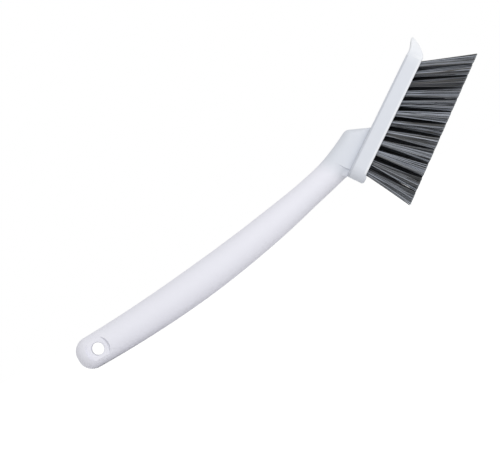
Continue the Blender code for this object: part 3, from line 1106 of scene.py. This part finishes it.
        # Where it sits in half of the round tuft: a sunflower spread, clear of the anchor.
        share = add("DIVIDE", add("ADD", number, 0.5), given["Filaments"])
        room = add("SUBTRACT", given["Tuft Radius"], given["Filament Radius"])
        ring = add("MULTIPLY", add("SQRT", share), room)
        golden = add("FRACT", add("MULTIPLY", number, GOLDEN_SHARE))
        angle = add("MULTIPLY_ADD", golden, math.pi, -math.pi / 2)
        x, y = (add("MULTIPLY", add(swing, angle), ring) for swing in ("COSINE", "SINE"))
        clear = add("ADD", given["Anchor Half"], given["Filament Radius"])
        keep = add("SUBTRACT", 1.0, add("DIVIDE", clear, room))
        x = add(MIX, bound, add("MULTIPLY_ADD", x, keep, clear), x)
        side_x = add("MULTIPLY", x, half)
        root_x = add("MULTIPLY", side_x, add("SINE", turned))

        # Each end has its own chance: how far it wanders at its tip, bows on the way, and stops.
        end = add("MULTIPLY_ADD", filament, 2.0, half)
        chances = []
        for draw in range(6):
            seed = add("ADD", given["Seed"], float(draw * self.draw_seed_step))
            chances.append(add("FunctionNodeRandomValue", 0.0, 1.0, end, seed))
        heading, strayed, bowed, tint, short, own_tone = chances
        # A few ends get a painted glint: their tone is lifted.
        bright = add("GREATER_THAN", bowed, self.painted_glint_from)
        heading, bow_turn = (add("MULTIPLY", chance, 2 * math.pi) for chance in (heading, tint))
        strayed = add("POWER", strayed, self.wander_power)
        strayed = add("MULTIPLY_ADD", strayed, self.wander_more, self.wander_least)
        strayed = add("MULTIPLY", strayed, given["Wander"])
        bowed = add("MULTIPLY", bowed, given["Bow"])
        short = add("MULTIPLY", add("POWER", short, self.uneven_power), given["Uneven Trim"])

        # Where its tip would stand in an even fan. Neighbours there drift together, in one tone.
        origin = add("GeometryNodeInputPosition")
        turn = add(AXES, outward, ahead, primary_axis="Z", secondary_axis="X")
        even = add(VECTOR_MATH, add(COMBINE, side_x, y, 0.0), opening, operation="SCALE")
        even = add(VECTOR_MATH, origin, add(ROTATE, even, turn), operation="ADD")
        clump = add(NOISE, even, given["Clump Scale"], self.clump_detail)
        pull = add(
            VECTOR_MATH, clump.node.outputs["Color"], (0.5, 0.5, 0.5), operation="SUBTRACT")
        pull = add(VECTOR_MATH, pull, given["Gather"], operation="SCALE")
        pulls = add("ShaderNodeSeparateXYZ", pull).node.outputs

        # Sideways: the bound place, opened like a fan, bowed, and drawn to where the tip strays.
        widening = add("POWER", free, self.widen_power)
        widened = add("MULTIPLY_ADD", add("SUBTRACT", opening, 1.0), widening, 1.0)
        drift = add("POWER", free, self.drift_power)
        arch = add("SINE", add("MULTIPLY", free, math.pi))
        places, tips = [], []
        for root, spot, swing, pulled in (
            (root_x, side_x, "COSINE", pulls["X"]), (y, y, "SINE", pulls["Y"]),
        ):
            toward = add("MULTIPLY_ADD", add(swing, heading), strayed, pulled)
            bent = add("MULTIPLY", add("MULTIPLY", add(swing, bow_turn), bowed), arch)
            place = add("MULTIPLY_ADD", root, widened, bent)
            places.append(add("MULTIPLY_ADD", toward, drift, place))
            tips.append(add("MULTIPLY_ADD", spot, opening, toward))

        # The tip's height along the tuft, where the filament meets the trim plane.
        foot = add(ROTATE, add(COMBINE, *tips, 0.0), turn)
        foot = add(VECTOR_MATH, origin, foot, operation="ADD")
        fall = add(VECTOR_MATH, given["Trim Point"], foot, operation="SUBTRACT")
        fall, slant = (
            add(VECTOR_MATH, line, given["Trim Normal"], operation="DOT_PRODUCT")
            for line in (fall, outward))
        tip_height = add("SUBTRACT", add("DIVIDE", fall, slant), short)

        # Height: under the anchor, up to the mouth of the hole, then out to the tip.
        taper = add("MULTIPLY", given["Fold Taper"], given["Tuft Radius"])
        fold_depth = add("SUBTRACT", depth, taper)
        dip = add("MULTIPLY", add("COSINE", turned), x)
        dip = add("MULTIPLY_ADD", dip, given["Fold Taper"], fold_depth)
        climb = add("MULTIPLY", add("ADD", fold_depth, given["Proud"]), bound)
        run = add("SUBTRACT", tip_height, given["Proud"])
        height = add("MULTIPLY_ADD", run, free, add("SUBTRACT", climb, dip))
        spot = add(ROTATE, add(COMBINE, *places, height), turn)
        for limit, operation in (
            (origin, "ADD"), (given["Lowest"], "MAXIMUM"), (given["Highest"], "MINIMUM"),
        ):
            spot = add(VECTOR_MATH, limit, spot, operation=operation)

        # What the finish reads, and then the round filament itself.
        shade = add(MAP_RANGE, clump, *self.clump_range, 0.0, 1.0)
        shade = add(MIX, self.own_tone, shade, own_tone)
        shade = add("MULTIPLY_ADD", bright, self.painted_glint_lift, shade)
        lines = self.lines(add, given)
        for name, value in (("shade", shade), ("tint", tint), ("reach", free)):
            lines = add(STORE, lines, True, name, value)
        curves = add("GeometryNodeMeshToCurve", add(PLACE, lines, True, spot))
        profile = add(CIRCLE, given["Sides"], named={"Radius": given["Filament Radius"]})
        return add("GeometryNodeCurveToMesh", curves, profile, 1.0, True)

    def hole_cutter(self, plastic: Material) -> Piece:
        """Make all the blind holes as one tool, in the head's frame.

        Args:
            plastic: The block's finish.

        Returns:
            The tool.
        """
        item = self.stations("tuft_holes", self.tufts(), Matrix.Identity(4))
        grow(item, "blind_holes", {
            "Radius": self.hole_radius, "Overrun": self.drill_overrun, "Sides": self.hole_sides,
            "Material": plastic}, self.drills)
        return item

    def build_row(self, row: Row, placing: Matrix, nylon: Material) -> None:
        """Grow one row of tufts, in place of the row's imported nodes.

        Args:
            row: Which row.
            placing: From the head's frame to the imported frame.
            nylon: The filaments' finish.
        """
        tufts = [tuft for tuft in self.tufts() if tuft.row is row]
        item = self.stations(f"bristles_{row.name.lower()}", tufts, placing)
        slope = (self.trim_heel - self.trim_nose) / self.block.length
        radius = self.filament_diameter / 2
        margin = Vector((radius, radius, radius))
        grow(item, "folded_filaments", {
            "Filaments": self.folded_filaments, "Points": self.filament_points,
            "Sides": self.filament_sides, "Tuft Radius": self.tuft_radius,
            "Filament Radius": radius, "Anchor Half": self.anchor_size[0] / 2,
            "Proud": self.proud, "Fold Taper": self.fold_taper, "Wander": self.wander,
            "Bow": self.bow, "Uneven Trim": self.uneven_trim, "Clump Scale": 1 / self.clump_size,
            "Gather": self.gather, "Trim Point": placing @ Vector((0, 0, -self.trim_heel)),
            "Trim Normal": (placing.to_3x3() @ Vector((-slope, 0, 1))).normalized(),
            "Lowest": Vector(cad_box[0]) + margin, "Highest": Vector(cad_box[1]) - margin,
            "Seed": self.seed + self.row_seed_step * row.value, "Material": nylon}, self.filaments)
        finish_piece(
            item, Matrix.Identity(4), nylon, [tuft.node for tuft in tufts],
            self.sharp_deg)

    def build_anchors(self, placing: Matrix, wire: Material) -> None:
        """Lay the anchors that the filaments are folded over.

        Args:
            placing: From the head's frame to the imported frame.
            wire: Their finish.
        """
        item = self.stations("anchor_wires", self.tufts(), Matrix.Identity(4))
        lift = self.hole_gap + self.tuft_radius * self.fold_taper + self.anchor_size[2] / 2
        grow(item, "anchors", {
            "Size": Vector(self.anchor_size), "Fold Depth": lift, "Material": wire}, self.anchors)
        bevel(item, self.anchor_edge, self.anchor_least_deg)
        finish_piece(item, placing, wire)


@dataclass(frozen=True)
class Handle:
    """The handle: a round grip bent in one long arc, its neck and foot, and its hanging hole."""

    block: BrushBlock
    clearance: float = 0.0003
    foot_length: float = 0.0258
    foot_width: float = 0.0130
    foot_plan_radius: float = 0.0016
    neck_height: float = 0.0121
    neck_top_setback: float = 0.0072
    neck_top_width: float = 0.0142
    neck_rear_step: float = 0.0004
    neck_taper_length: float = 0.009
    neck_corner_radius: float = 0.0046
    neck_crown_height: float = 0.0046
    neck_crown_share: float = 0.5
    neck_toe_height: float = 0.0004
    grip_start_x: float = 0.0034
    grip_start_height: float = 0.0068
    grip_length: float = 0.1792
    grip_diameter: float = 0.01946
    grip_start_slope_deg: float = 20.0
    grip_end_slope_deg: float = 34.5
    grip_square_length: float = 0.020
    # The hollow between grip and neck: what fills it, and how far down its line is smoothed away.
    nape_height: float = 0.00065
    nape_length: float = 0.013
    nape_steps: int = 12
    crease_top: float = 0.05
    crease_fade: float = 0.3
    soft_rings: int = 16
    soft_rounds: int = 40
    web_length: float = 0.0034
    web_fade_length: float = 0.0012
    web_clearance: float = 0.00003
    web_from: float = 0.58
    web_full: float = 0.86
    waist_depth: float = 0.07
    waist_length: float = 0.007
    waist_from: float = 0.22
    waist_full: float = -0.2
    # A painted sheen keeps the grip bright, from just behind the neck.
    painted_sheen_from: float = 0.005
    painted_sheen_over: float = 0.011
    # Painted shade along the foot, and under the grip: height, depth, power and most of it.
    foot_shade: tuple[float, float, float, float] = (0.0045, 0.28, 2.0, 1.0)
    web_shade: tuple[float, float, float, float] = (0.0080, 0.5, 1.3, 0.58)
    web_shade_length: float = 0.0055
    grip_end_rounding: float = 0.0082
    grip_end_flat_share: float = 0.12
    hole_diameter: float = 0.007
    hole_setback: float = 0.0125
    hole_lip: float = 0.0008
    land_diameter: float = 0.0136
    land_width: float = 0.0150
    sides: int = 96
    grip_rings: int = 150
    front_step: float = 0.00032
    neck_step: float = 0.0005
    round_steps: int = 14
    # Along the grip, then its diameter.
    swell_shares: tuple[tuple[float, float], ...] = (
        (0.00, 0.770), (0.13, 0.790), (0.20, 0.838), (0.28, 0.895), (0.35, 0.93),
        (0.42, 0.96), (0.56, 1.00), (0.74, 0.985), (1.00, 0.92),
    )

    @property
    def grip_start(self) -> Vector:
        """The grip's centre at its front end."""
        return Vector((self.grip_start_x, 0, self.block.thickness + self.grip_start_height))

    @property
    def foot_back(self) -> float:
        """The back of the foot."""
        return self.grip_start.x + self.neck_rear_step

    @property
    def foot_front(self) -> float:
        """The front of the foot."""
        return self.foot_back + self.foot_length

    def slope(self, distance: float) -> float:
        """Return the slope of the grip's centre line, in radians."""
        start = math.radians(self.grip_start_slope_deg)
        return start + (math.radians(self.grip_end_slope_deg) - start) * distance / self.grip_length

    def centre(self, distance: float) -> Vector:
        """Find a place on the grip's centre line, which is one circular arc.

        Args:
            distance: Distance along the grip from its front end.

        Returns:
            The place.
        """
        start, slope = self.slope(0), self.slope(distance)
        bend_radius = self.grip_length / (self.slope(self.grip_length) - start)
        x = bend_radius * (math.sin(start) - math.sin(slope))
        z = bend_radius * (math.cos(start) - math.cos(slope))
        return self.grip_start + Vector((x, 0, z))

    def radius(self, distance: float) -> float:
        """Return the grip's radius at a distance from its front end."""
        return self.grip_diameter / 2 * smooth_value(self.swell_shares, distance / self.grip_length)

    def half_turn(self) -> list[float]:
        """Return the angles of half a ring, with both of its ends."""
        steps = self.sides // 2
        return [math.pi * i / steps for i in range(steps + 1)]

    def nape(self, distance: float) -> float:
        """Return how much fills the hollow where the grip runs into the neck's top."""
        return self.nape_height * max(1 - distance / self.nape_length, 0.0) ** 2

    def waist(self, distance: float, height: float) -> float:
        """Return how wide the grip is under the neck's rear edge, as a share of its round width."""
        low = smooth_step((self.waist_from - height) / (self.waist_from - self.waist_full))
        return 1 - self.waist_depth * low * (1 - smooth_step(distance / self.waist_length))

    def grip_ring(self, distance: float) -> Ring:
        """Return a ring of the grip's front: round, square to the block, and flat over its back.

        Args:
            distance: Distance along the grip from its front end.

        Returns:
            The ring of points.
        """
        middle = self.centre(distance)
        slope = self.slope(distance)
        tilt = slope * min(distance / self.grip_square_length, 1.0)
        up = Vector((math.sin(tilt), 0, math.cos(tilt)))
        half = self.radius(distance)
        rise = half / math.cos(slope - tilt)
        ring = []
        for angle in self.half_turn():
            across = Vector((0, half * math.cos(angle) * self.waist(distance, math.sin(angle)), 0))
            ring.append(middle + across + up * (rise + self.nape(distance)) * math.sin(angle))
        deepest = (middle.z - self.block.thickness - self.web_clearance) / up.z
        # A thin web fills the corner under the grip, over the block's heel, and flares to the foot.
        web = 1 - smooth_step((distance - self.web_length) / self.web_fade_length)
        spread = 1 - smooth_step(distance / self.web_length)
        narrow = math.sqrt(1 - self.web_full ** 2)
        for angle in self.half_turn()[1:-1]:
            wide = half * math.cos(angle) * self.waist(distance, -math.sin(angle))
            depth = min(rise * math.sin(angle), deepest)
            keel = (math.sin(angle) - self.web_from) / (self.web_full - self.web_from)
            keel = smooth_step(keel) * web
            flank = self.foot_width / 2 * min(max(math.cos(angle) / narrow, -1.0), 1.0)
            wide += (flank - wide) * keel * spread
            depth += (deepest - depth) * keel
            ring.append(middle - Vector((0, wide, 0)) - up * depth)
        return ring

    def top_line(self) -> list[Vector]:
        """Draw the neck's top and front, with their corner rounded.

        Returns:
            The line's (x, z) points.
        """
        seat = self.block.thickness
        rise = self.radius(0) / math.cos(self.slope(0))
        start = Vector((self.grip_start.x, self.grip_start.z + rise))
        corner = Vector((self.foot_front - self.neck_top_setback, seat + self.neck_height))
        toe = Vector((self.foot_front, seat + self.neck_toe_height))
        back = (start - corner).normalized()
        down = (toe - corner).normalized()
        half_angle = back.angle(down) / 2
        reach = self.neck_corner_radius / math.tan(half_angle)
        away = self.neck_corner_radius / math.sin(half_angle)
        centre = corner + (back + down).normalized() * away
        first = corner + back * reach - centre
        turn = math.pi - 2 * half_angle
        arc = [
            centre + Matrix.Rotation(-turn * i / self.round_steps, 2) @ first
            for i in range(self.round_steps + 1)
        ]
        spans = [self.nape_length * i / self.nape_steps for i in range(self.nape_steps + 1)]
        filled = [start - back * span + Vector((0, self.nape(span))) for span in spans]
        return filled + arc + [toe]

    def neck_ring(self, line: Sequence[Vector], x: float) -> Ring:
        """Return a ring of the neck: a rounded top over two leaning sides and the foot.

        Args:
            line: The neck's top and front.
            x: Distance from the heel end.

        Returns:
            The ring of points.
        """
        seat = self.block.thickness
        bottom = seat - self.block.pocket_depth + self.clearance
        corner_x = self.foot_front - self.neck_top_setback
        taper = min((x - self.grip_start.x) / self.neck_taper_length, 1.0)
        top = height_on_line(line, x)
        full_crown = line[0].y - self.grip_start.z
        along = min((x - self.grip_start.x) / (corner_x - self.grip_start.x), 1.0)
        crown = full_crown + (self.neck_crown_height - full_crown) * along
        crown = min(crown, self.neck_crown_share * (top - seat))
        shoulder = top - crown
        half_top = self.radius(0) + (self.neck_top_width / 2 - self.radius(0)) * taper
        inset = corner_inset(self.foot_front - x, self.foot_plan_radius)
        half_foot = self.foot_width / 2 - inset
        lean = (shoulder - seat) / (self.grip_start.z - seat)
        half = half_foot + (half_top - half_foot - inset) * min(lean, 1.0)
        ring = [
            Vector((x, half * math.cos(angle), shoulder + crown * math.sin(angle)))
            for angle in self.half_turn()
        ]
        # Each lower quarter of the ring: 3 parts down the side, 1 in the pocket, and 2 below.
        fine = self.sides // 24
        knots = (
            (half, shoulder, 3), (half_foot, seat, 1), (half_foot, bottom, 2), (0.0, bottom, 0))
        side = []
        for (y, z, count), (next_y, next_z, _) in zip(knots, knots[1:]):
            for i in range(count * fine):
                share = i / (count * fine)
                drawn_in = share ** 2 if z == shoulder else share
                side.append(Vector((x, y + (next_y - y) * drawn_in, z + (next_z - z) * share)))
        right = [Vector((x, -point.y, point.z)) for point in side[1:]]
        return ring + right + [Vector((x, 0, bottom))] + side[:0:-1]

    def front_rings(self) -> list[Ring]:
        """Lay out the rings from where the grip turns square to the block, to the neck's toe.

        Returns:
            The rings of points.
        """
        line = self.top_line()
        steps = math.ceil(self.grip_square_length / self.front_step)
        rings = [
            self.grip_ring(self.grip_square_length * i / steps) for i in range(steps, -1, -1)]
        rounding = rounding_stations(self.foot_plan_radius, self.round_steps)
        stations = {self.foot_front - distance for distance in rounding}
        stations.update(point.x for point in line[1:-1])
        crowded = self.neck_step / 3
        for i in range(int((self.foot_length - self.foot_plan_radius) / self.neck_step) + 1):
            x = self.foot_back + self.neck_step * i
            if all(abs(x - other) > crowded for other in stations):
                stations.add(x)
        return self.softened(rings + [self.neck_ring(line, x) for x in sorted(stations)], steps)

    def softened(self, rings: Sequence[Ring], joint: int) -> list[Ring]:
        """Smooth the line between grip and neck, but for the crease low on each side.

        Args:
            rings: The rings of the front.
            joint: Which ring is the grip's last.

        Returns:
            The rings with the upper part of those near the joint smoothed.
        """
        rings = list(rings)
        shares = [
            smooth_step((math.sin(angle) - self.crease_top) / self.crease_fade) / 2
            for angle in self.half_turn()
        ]
        for _ in range(self.soft_rounds):
            before = list(rings)
            for i in range(joint - self.soft_rings, joint + self.soft_rings + 1):
                near = zip(before[i - 1], before[i], before[i + 1], shares)
                top = [here.lerp((back + ahead) / 2, share) for back, here, ahead, share in near]
                rings[i] = top + before[i][len(top):]
        return rings

    def sweep(self, add: AddNode, given: Inputs) -> Socket:
        """Return the nodes that sweep the grip: a round bar of changing thickness on one arc.

        Args:
            add: Adds a node to the tree.
            given: The tree's inputs.

        Returns:
            The grip's skin, open at both ends.
        """
        # Rings crowd together towards the rounded end: what is left of the length goes as a square.
        last = add("SUBTRACT", given["Rings"], 1.0)
        left = add("SUBTRACT", 1.0, add("DIVIDE", add("GeometryNodeInputIndex"), last))
        span = add("SUBTRACT", given["Length"], given["From"])
        left = add("MULTIPLY", add("POWER", left, 2.0), span)
        share = add("DIVIDE", add("SUBTRACT", given["Length"], left), given["Length"])

        # The arc.
        bend = add("SUBTRACT", given["End Slope"], given["Start Slope"])
        slope = add("MULTIPLY_ADD", share, bend, given["Start Slope"])
        bend_radius = add("DIVIDE", given["Length"], bend)
        steps = []
        for swing in ("SINE", "COSINE"):
            step = add("SUBTRACT", add(swing, given["Start Slope"]), add(swing, slope))
            steps.append(add("MULTIPLY", step, bend_radius))
        offset = add(COMBINE, steps[0], 0.0, steps[1])
        place = add(VECTOR_MATH, given["Start"], offset, operation="ADD")

        # Its thickness: the swell towards the hand, then the rounded end.
        swell = add("ShaderNodeFloatCurve", 1.0, share)
        curve = swell.node.mapping.curves[0]
        for point, row in zip(curve.points, (self.swell_shares[0], self.swell_shares[-1])):
            point.location = row
        for row in self.swell_shares[1:-1]:
            curve.points.new(*row)
        swell.node.mapping.update()
        full = add("MULTIPLY", given["Diameter"], 0.5)
        flat = add("MULTIPLY", full, given["End Flat"])
        near_end = add("MINIMUM", add("DIVIDE", left, given["End Rounding"]), 1.0)
        near_end = add("POWER", add("SUBTRACT", 1.0, near_end), 2.0)
        fullness = add("SQRT", add("SUBTRACT", 1.0, near_end))
        radius = add("SUBTRACT", add("MULTIPLY", full, swell), flat)
        radius = add("MULTIPLY_ADD", radius, fullness, flat)

        line = add("GeometryNodeMeshLine", given["Rings"], (0, 0, 0), (0, 0, 0))
        line = add(STORE, line, True, "thickness", radius)
        path = add("GeometryNodeMeshToCurve", add(PLACE, line, True, place))
        profile = add(CIRCLE, given["Sides"], named={"Radius": 1.0})
        return add("GeometryNodeCurveToMesh", path, profile, add(READ, "thickness"), False)

    def moulding(self, plastic: Material) -> Piece:
        """Join the swept grip and the lofted front and neck into one closed skin.

        Args:
            plastic: The handle's finish.

        Returns:
            The handle, before its hole is cut.
        """
        grip = link_object("grip", bpy.data.meshes.new("grip"))
        grow(grip, "grip_sweep", {
            "Start": self.grip_start, "Length": self.grip_length, "From": self.grip_square_length,
            "Start Slope": self.slope(0), "End Slope": self.slope(self.grip_length),
            "Diameter": self.grip_diameter, "End Rounding": self.grip_end_rounding,
            "End Flat": self.grip_end_flat_share, "Rings": self.grip_rings, "Sides": self.sides,
            "Material": plastic}, self.sweep)
        bm = bmesh.new()
        bm.from_mesh(grip.data)
        bpy.data.objects.remove(grip, do_unlink=True)
        seam = self.centre(self.grip_square_length)
        open_points = [vertex.co.copy() for vertex in bm.verts if vertex.is_boundary]
        rim = [point for point in open_points if (point - seam).length < self.grip_diameter]
        rings = self.front_rings()
        rings[0] = [min(rim, key=lambda spot: (spot - point).length) for point in rings[0]]
        loft(bm, rings, first=False)
        bmesh.ops.remove_doubles(bm, verts=bm.verts, dist=MERGE_DISTANCE)
        bmesh.ops.holes_fill(bm, edges=[edge for edge in bm.edges if edge.is_boundary], sides=0)
        return link_bmesh("handle_moulding", bm)

    def hole_cutter(self) -> Piece:
        """Make the hanging hole, with rounded mouths, and the two lands, as one tool.

        Returns:
            The tool.
        """
        centre = self.centre(self.grip_length - self.hole_setback)
        radius, half = self.hole_diameter / 2, self.land_width / 2
        land, outside = self.land_diameter / 2, self.grip_diameter
        mouth = [(land, -outside), (land, -half)]
        for distance in rounding_stations(self.hole_lip, self.round_steps):
            mouth.append((radius + corner_inset(distance, self.hole_lip), distance - half))
        profile = mouth + [(r, -z) for r, z in reversed(mouth)]
        across = Matrix.Translation(centre) @ Matrix.Rotation(math.pi / 2, 4, "X")
        turns = [2 * math.pi * i / self.sides for i in range(self.sides)]
        bm = bmesh.new()
        loft(bm, [
            [across @ Vector((r * math.cos(a), r * math.sin(a), z)) for a in turns]
            for r, z in profile
        ])
        return link_bmesh("hang_hole", bm)

    def pocket_cutter(self) -> Piece:
        """Make the shallow seat of the foot in the block.

        Returns:
            The tool.
        """
        radius = self.foot_plan_radius + self.clearance
        half = self.foot_width / 2 + self.clearance
        front = self.foot_front + self.clearance
        outline = [(self.grip_start.x - self.clearance, half)]
        for distance in reversed(rounding_stations(radius, self.round_steps)):
            outline.append((front - distance, half - corner_inset(distance, radius)))
        outline += [(x, -y) for x, y in reversed(outline)]
        seat = self.block.thickness
        bm = bmesh.new()
        loft(bm, [
            [Vector((x, y, z)) for x, y in outline]
            for z in (seat - self.block.pocket_depth, seat + self.neck_height)
        ])
        return link_bmesh("foot_pocket", bm)

    def painted_shade(self, point: Vector) -> float:
        """Work out how much painted shade lies along the foot, and under the grip.

        Args:
            point: A point of the handle.

        Returns:
            The shade at that point, from zero to one.
        """
        behind = smooth_step((self.grip_start.x + MM - point.x) / (2 * MM))
        height, depth, power, most = (
            foot + (web - foot) * behind for foot, web in zip(self.foot_shade, self.web_shade))
        low = 1 - (point.z - self.block.thickness) / height
        under = smooth_step((point.x + self.web_shade_length) / self.web_shade_length)
        return depth * min(max(low, 0.0), most) ** power * under

    def build(self, placing: Matrix, plastic: Material) -> None:
        """Make the handle's moulding.

        Args:
            placing: From the head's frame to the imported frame.
            plastic: Its finish.
        """
        item = self.moulding(plastic)
        cut(item, self.hole_cutter())
        points = [vertex.co for vertex in item.data.vertices]
        # The grip's painted sheen.
        store_values(item.data, "handled", [
            smooth_step((self.painted_sheen_from - point.x) / self.painted_sheen_over) for point in points])
        # Painted shade along the foot and under the grip.
        store_values(item.data, "seam", [self.painted_shade(point) for point in points])
        finish_piece(item, placing, plastic, ["handle"])


@dataclass(frozen=True)
class SoftBox:
    """A round soft box that is aimed at the brush."""

    name: str
    place: tuple[float, float, float]
    size: float
    power: float


@dataclass(frozen=True)
class Studio:
    """A pale floor, plain soft light, and the photograph's camera."""

    placing: Matrix
    tilt: float
    frame_width_px: int = 500
    mm_per_px: float = 0.55
    aim: Vector = field(default_factory=lambda: Vector((-0.0529, 0, 0.0426)))
    bar_slope_deg: float = 64.05
    camera_distance: float = 3.2
    sensor_width: float = 36.0
    clip_range: tuple[float, float] = (0.05, 20.0)
    floor_radius: float = 6.0
    floor_sides: int = 96
    floor_drop: float = 0.0002
    world_level: float = 0.64
    lamps: tuple[SoftBox, ...] = (
        SoftBox("key", (0.48, -1.08, 0.46), 0.8, 4.9),
        SoftBox("fill", (0.0, -0.9, 0.04), 0.5, 1.078),
    )

    def build(self) -> None:
        """Set up the floor, the lights, the background and the camera."""
        self.build_floor()
        self.build_lights()
        self.build_world()
        self.build_camera()
        bpy.context.scene.view_settings.view_transform = "Standard"

    def build_floor(self) -> None:
        """Lay a wide round floor."""
        bm = bmesh.new()
        bmesh.ops.create_circle(
            bm, cap_ends=True, radius=self.floor_radius, segments=self.floor_sides)
        floor = link_bmesh("floor", bm)
        floor.data.transform(Matrix.Translation((0, 0, -self.floor_drop)))
        if floor.data.polygons[0].normal.z < 0:
            floor.data.flip_normals()
        floor.data.materials.append(StudioFloor().material())

    def build_world(self) -> None:
        """Surround the scene with a plain white studio."""
        world = bpy.data.worlds.new("studio")
        add = open_tree(world)
        level = add(MAP_RANGE, seen_rays(add), 0.0, 1.0, self.world_level, 1.0)
        add("ShaderNodeOutputWorld", add("ShaderNodeBackground", WHITE, level))
        bpy.context.scene.world = world

    def build_lights(self) -> None:
        """Hang the soft boxes: the key in front and above, and a weak one low in front."""
        aim = self.placing @ self.aim
        for box in self.lamps:
            light = bpy.data.lights.new(box.name, "AREA")
            light.shape = "DISK"
            light.size = box.size
            light.energy = box.power
            lamp = link_object(box.name, light)
            lamp.location = box.place
            lamp.visible_camera = False
            lamp.rotation_mode = "QUATERNION"
            lamp.rotation_quaternion = (aim - Vector(box.place)).to_track_quat("-Z", "Y")

    def build_camera(self) -> None:
        """Aim the camera square to the side of the brush, rolled as the photograph is."""
        camera = bpy.data.cameras.new("camera")
        camera.sensor_width = self.sensor_width
        view_width = self.frame_width_px * self.mm_per_px * MM
        camera.lens = self.sensor_width * self.camera_distance / view_width
        camera.clip_start, camera.clip_end = self.clip_range
        roll = math.radians(self.bar_slope_deg) - self.tilt
        right = Vector((math.cos(roll), 0, -math.sin(roll)))
        up = Vector((math.sin(roll), 0, math.cos(roll)))
        back = Vector((0, -1, 0))
        turn = Matrix((right, up, back)).transposed().to_4x4()
        spot = self.placing @ self.aim + back * self.camera_distance
        item = link_object("camera", camera)
        item.matrix_world = Matrix.Translation(spot) @ turn
        bpy.context.scene.camera = item


def head_placing(block: BrushBlock, handle: Handle) -> tuple[Matrix, float]:
    """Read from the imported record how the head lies.

    Args:
        block: The block, whose back carries the mount.
        handle: The handle, whose foot takes up part of that back.

    Returns:
        The placing from the head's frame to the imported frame, and the tilt in radians.
    """
    mount = next(m for m in frame["record"]["mounts"] if m["name"] == "block_back")
    axis = Vector(mount["axis"])
    tilt = math.atan2(-axis.x, axis.z)
    turn = Matrix.Rotation(-tilt, 4, "Y")
    middle = Vector(((handle.foot_front + block.nose_start) / 2, 0, block.thickness))
    return Matrix.Translation(Vector(mount["pos_m"]) - turn @ middle) @ turn, tilt


def main() -> None:
    """Build the brush and its studio."""
    logging.basicConfig(level=logging.INFO, format="%(message)s")
    block = BrushBlock()
    handle = Handle(block)
    tufts = TuftField(block)
    placing, tilt = head_placing(block, handle)

    plastic = MouldedPolypropylene().material()
    nylon = DrawnNylon().material()
    wire = GalvanisedWire().material()

    handle.build(placing, plastic)
    block.build(placing, plastic, [handle.pocket_cutter(), tufts.hole_cutter(plastic)])
    for row in Row:
        tufts.build_row(row, placing, nylon)
    tufts.build_anchors(placing, wire)

    Studio(placing, tilt).build()


if __name__ == "__main__":
    main()
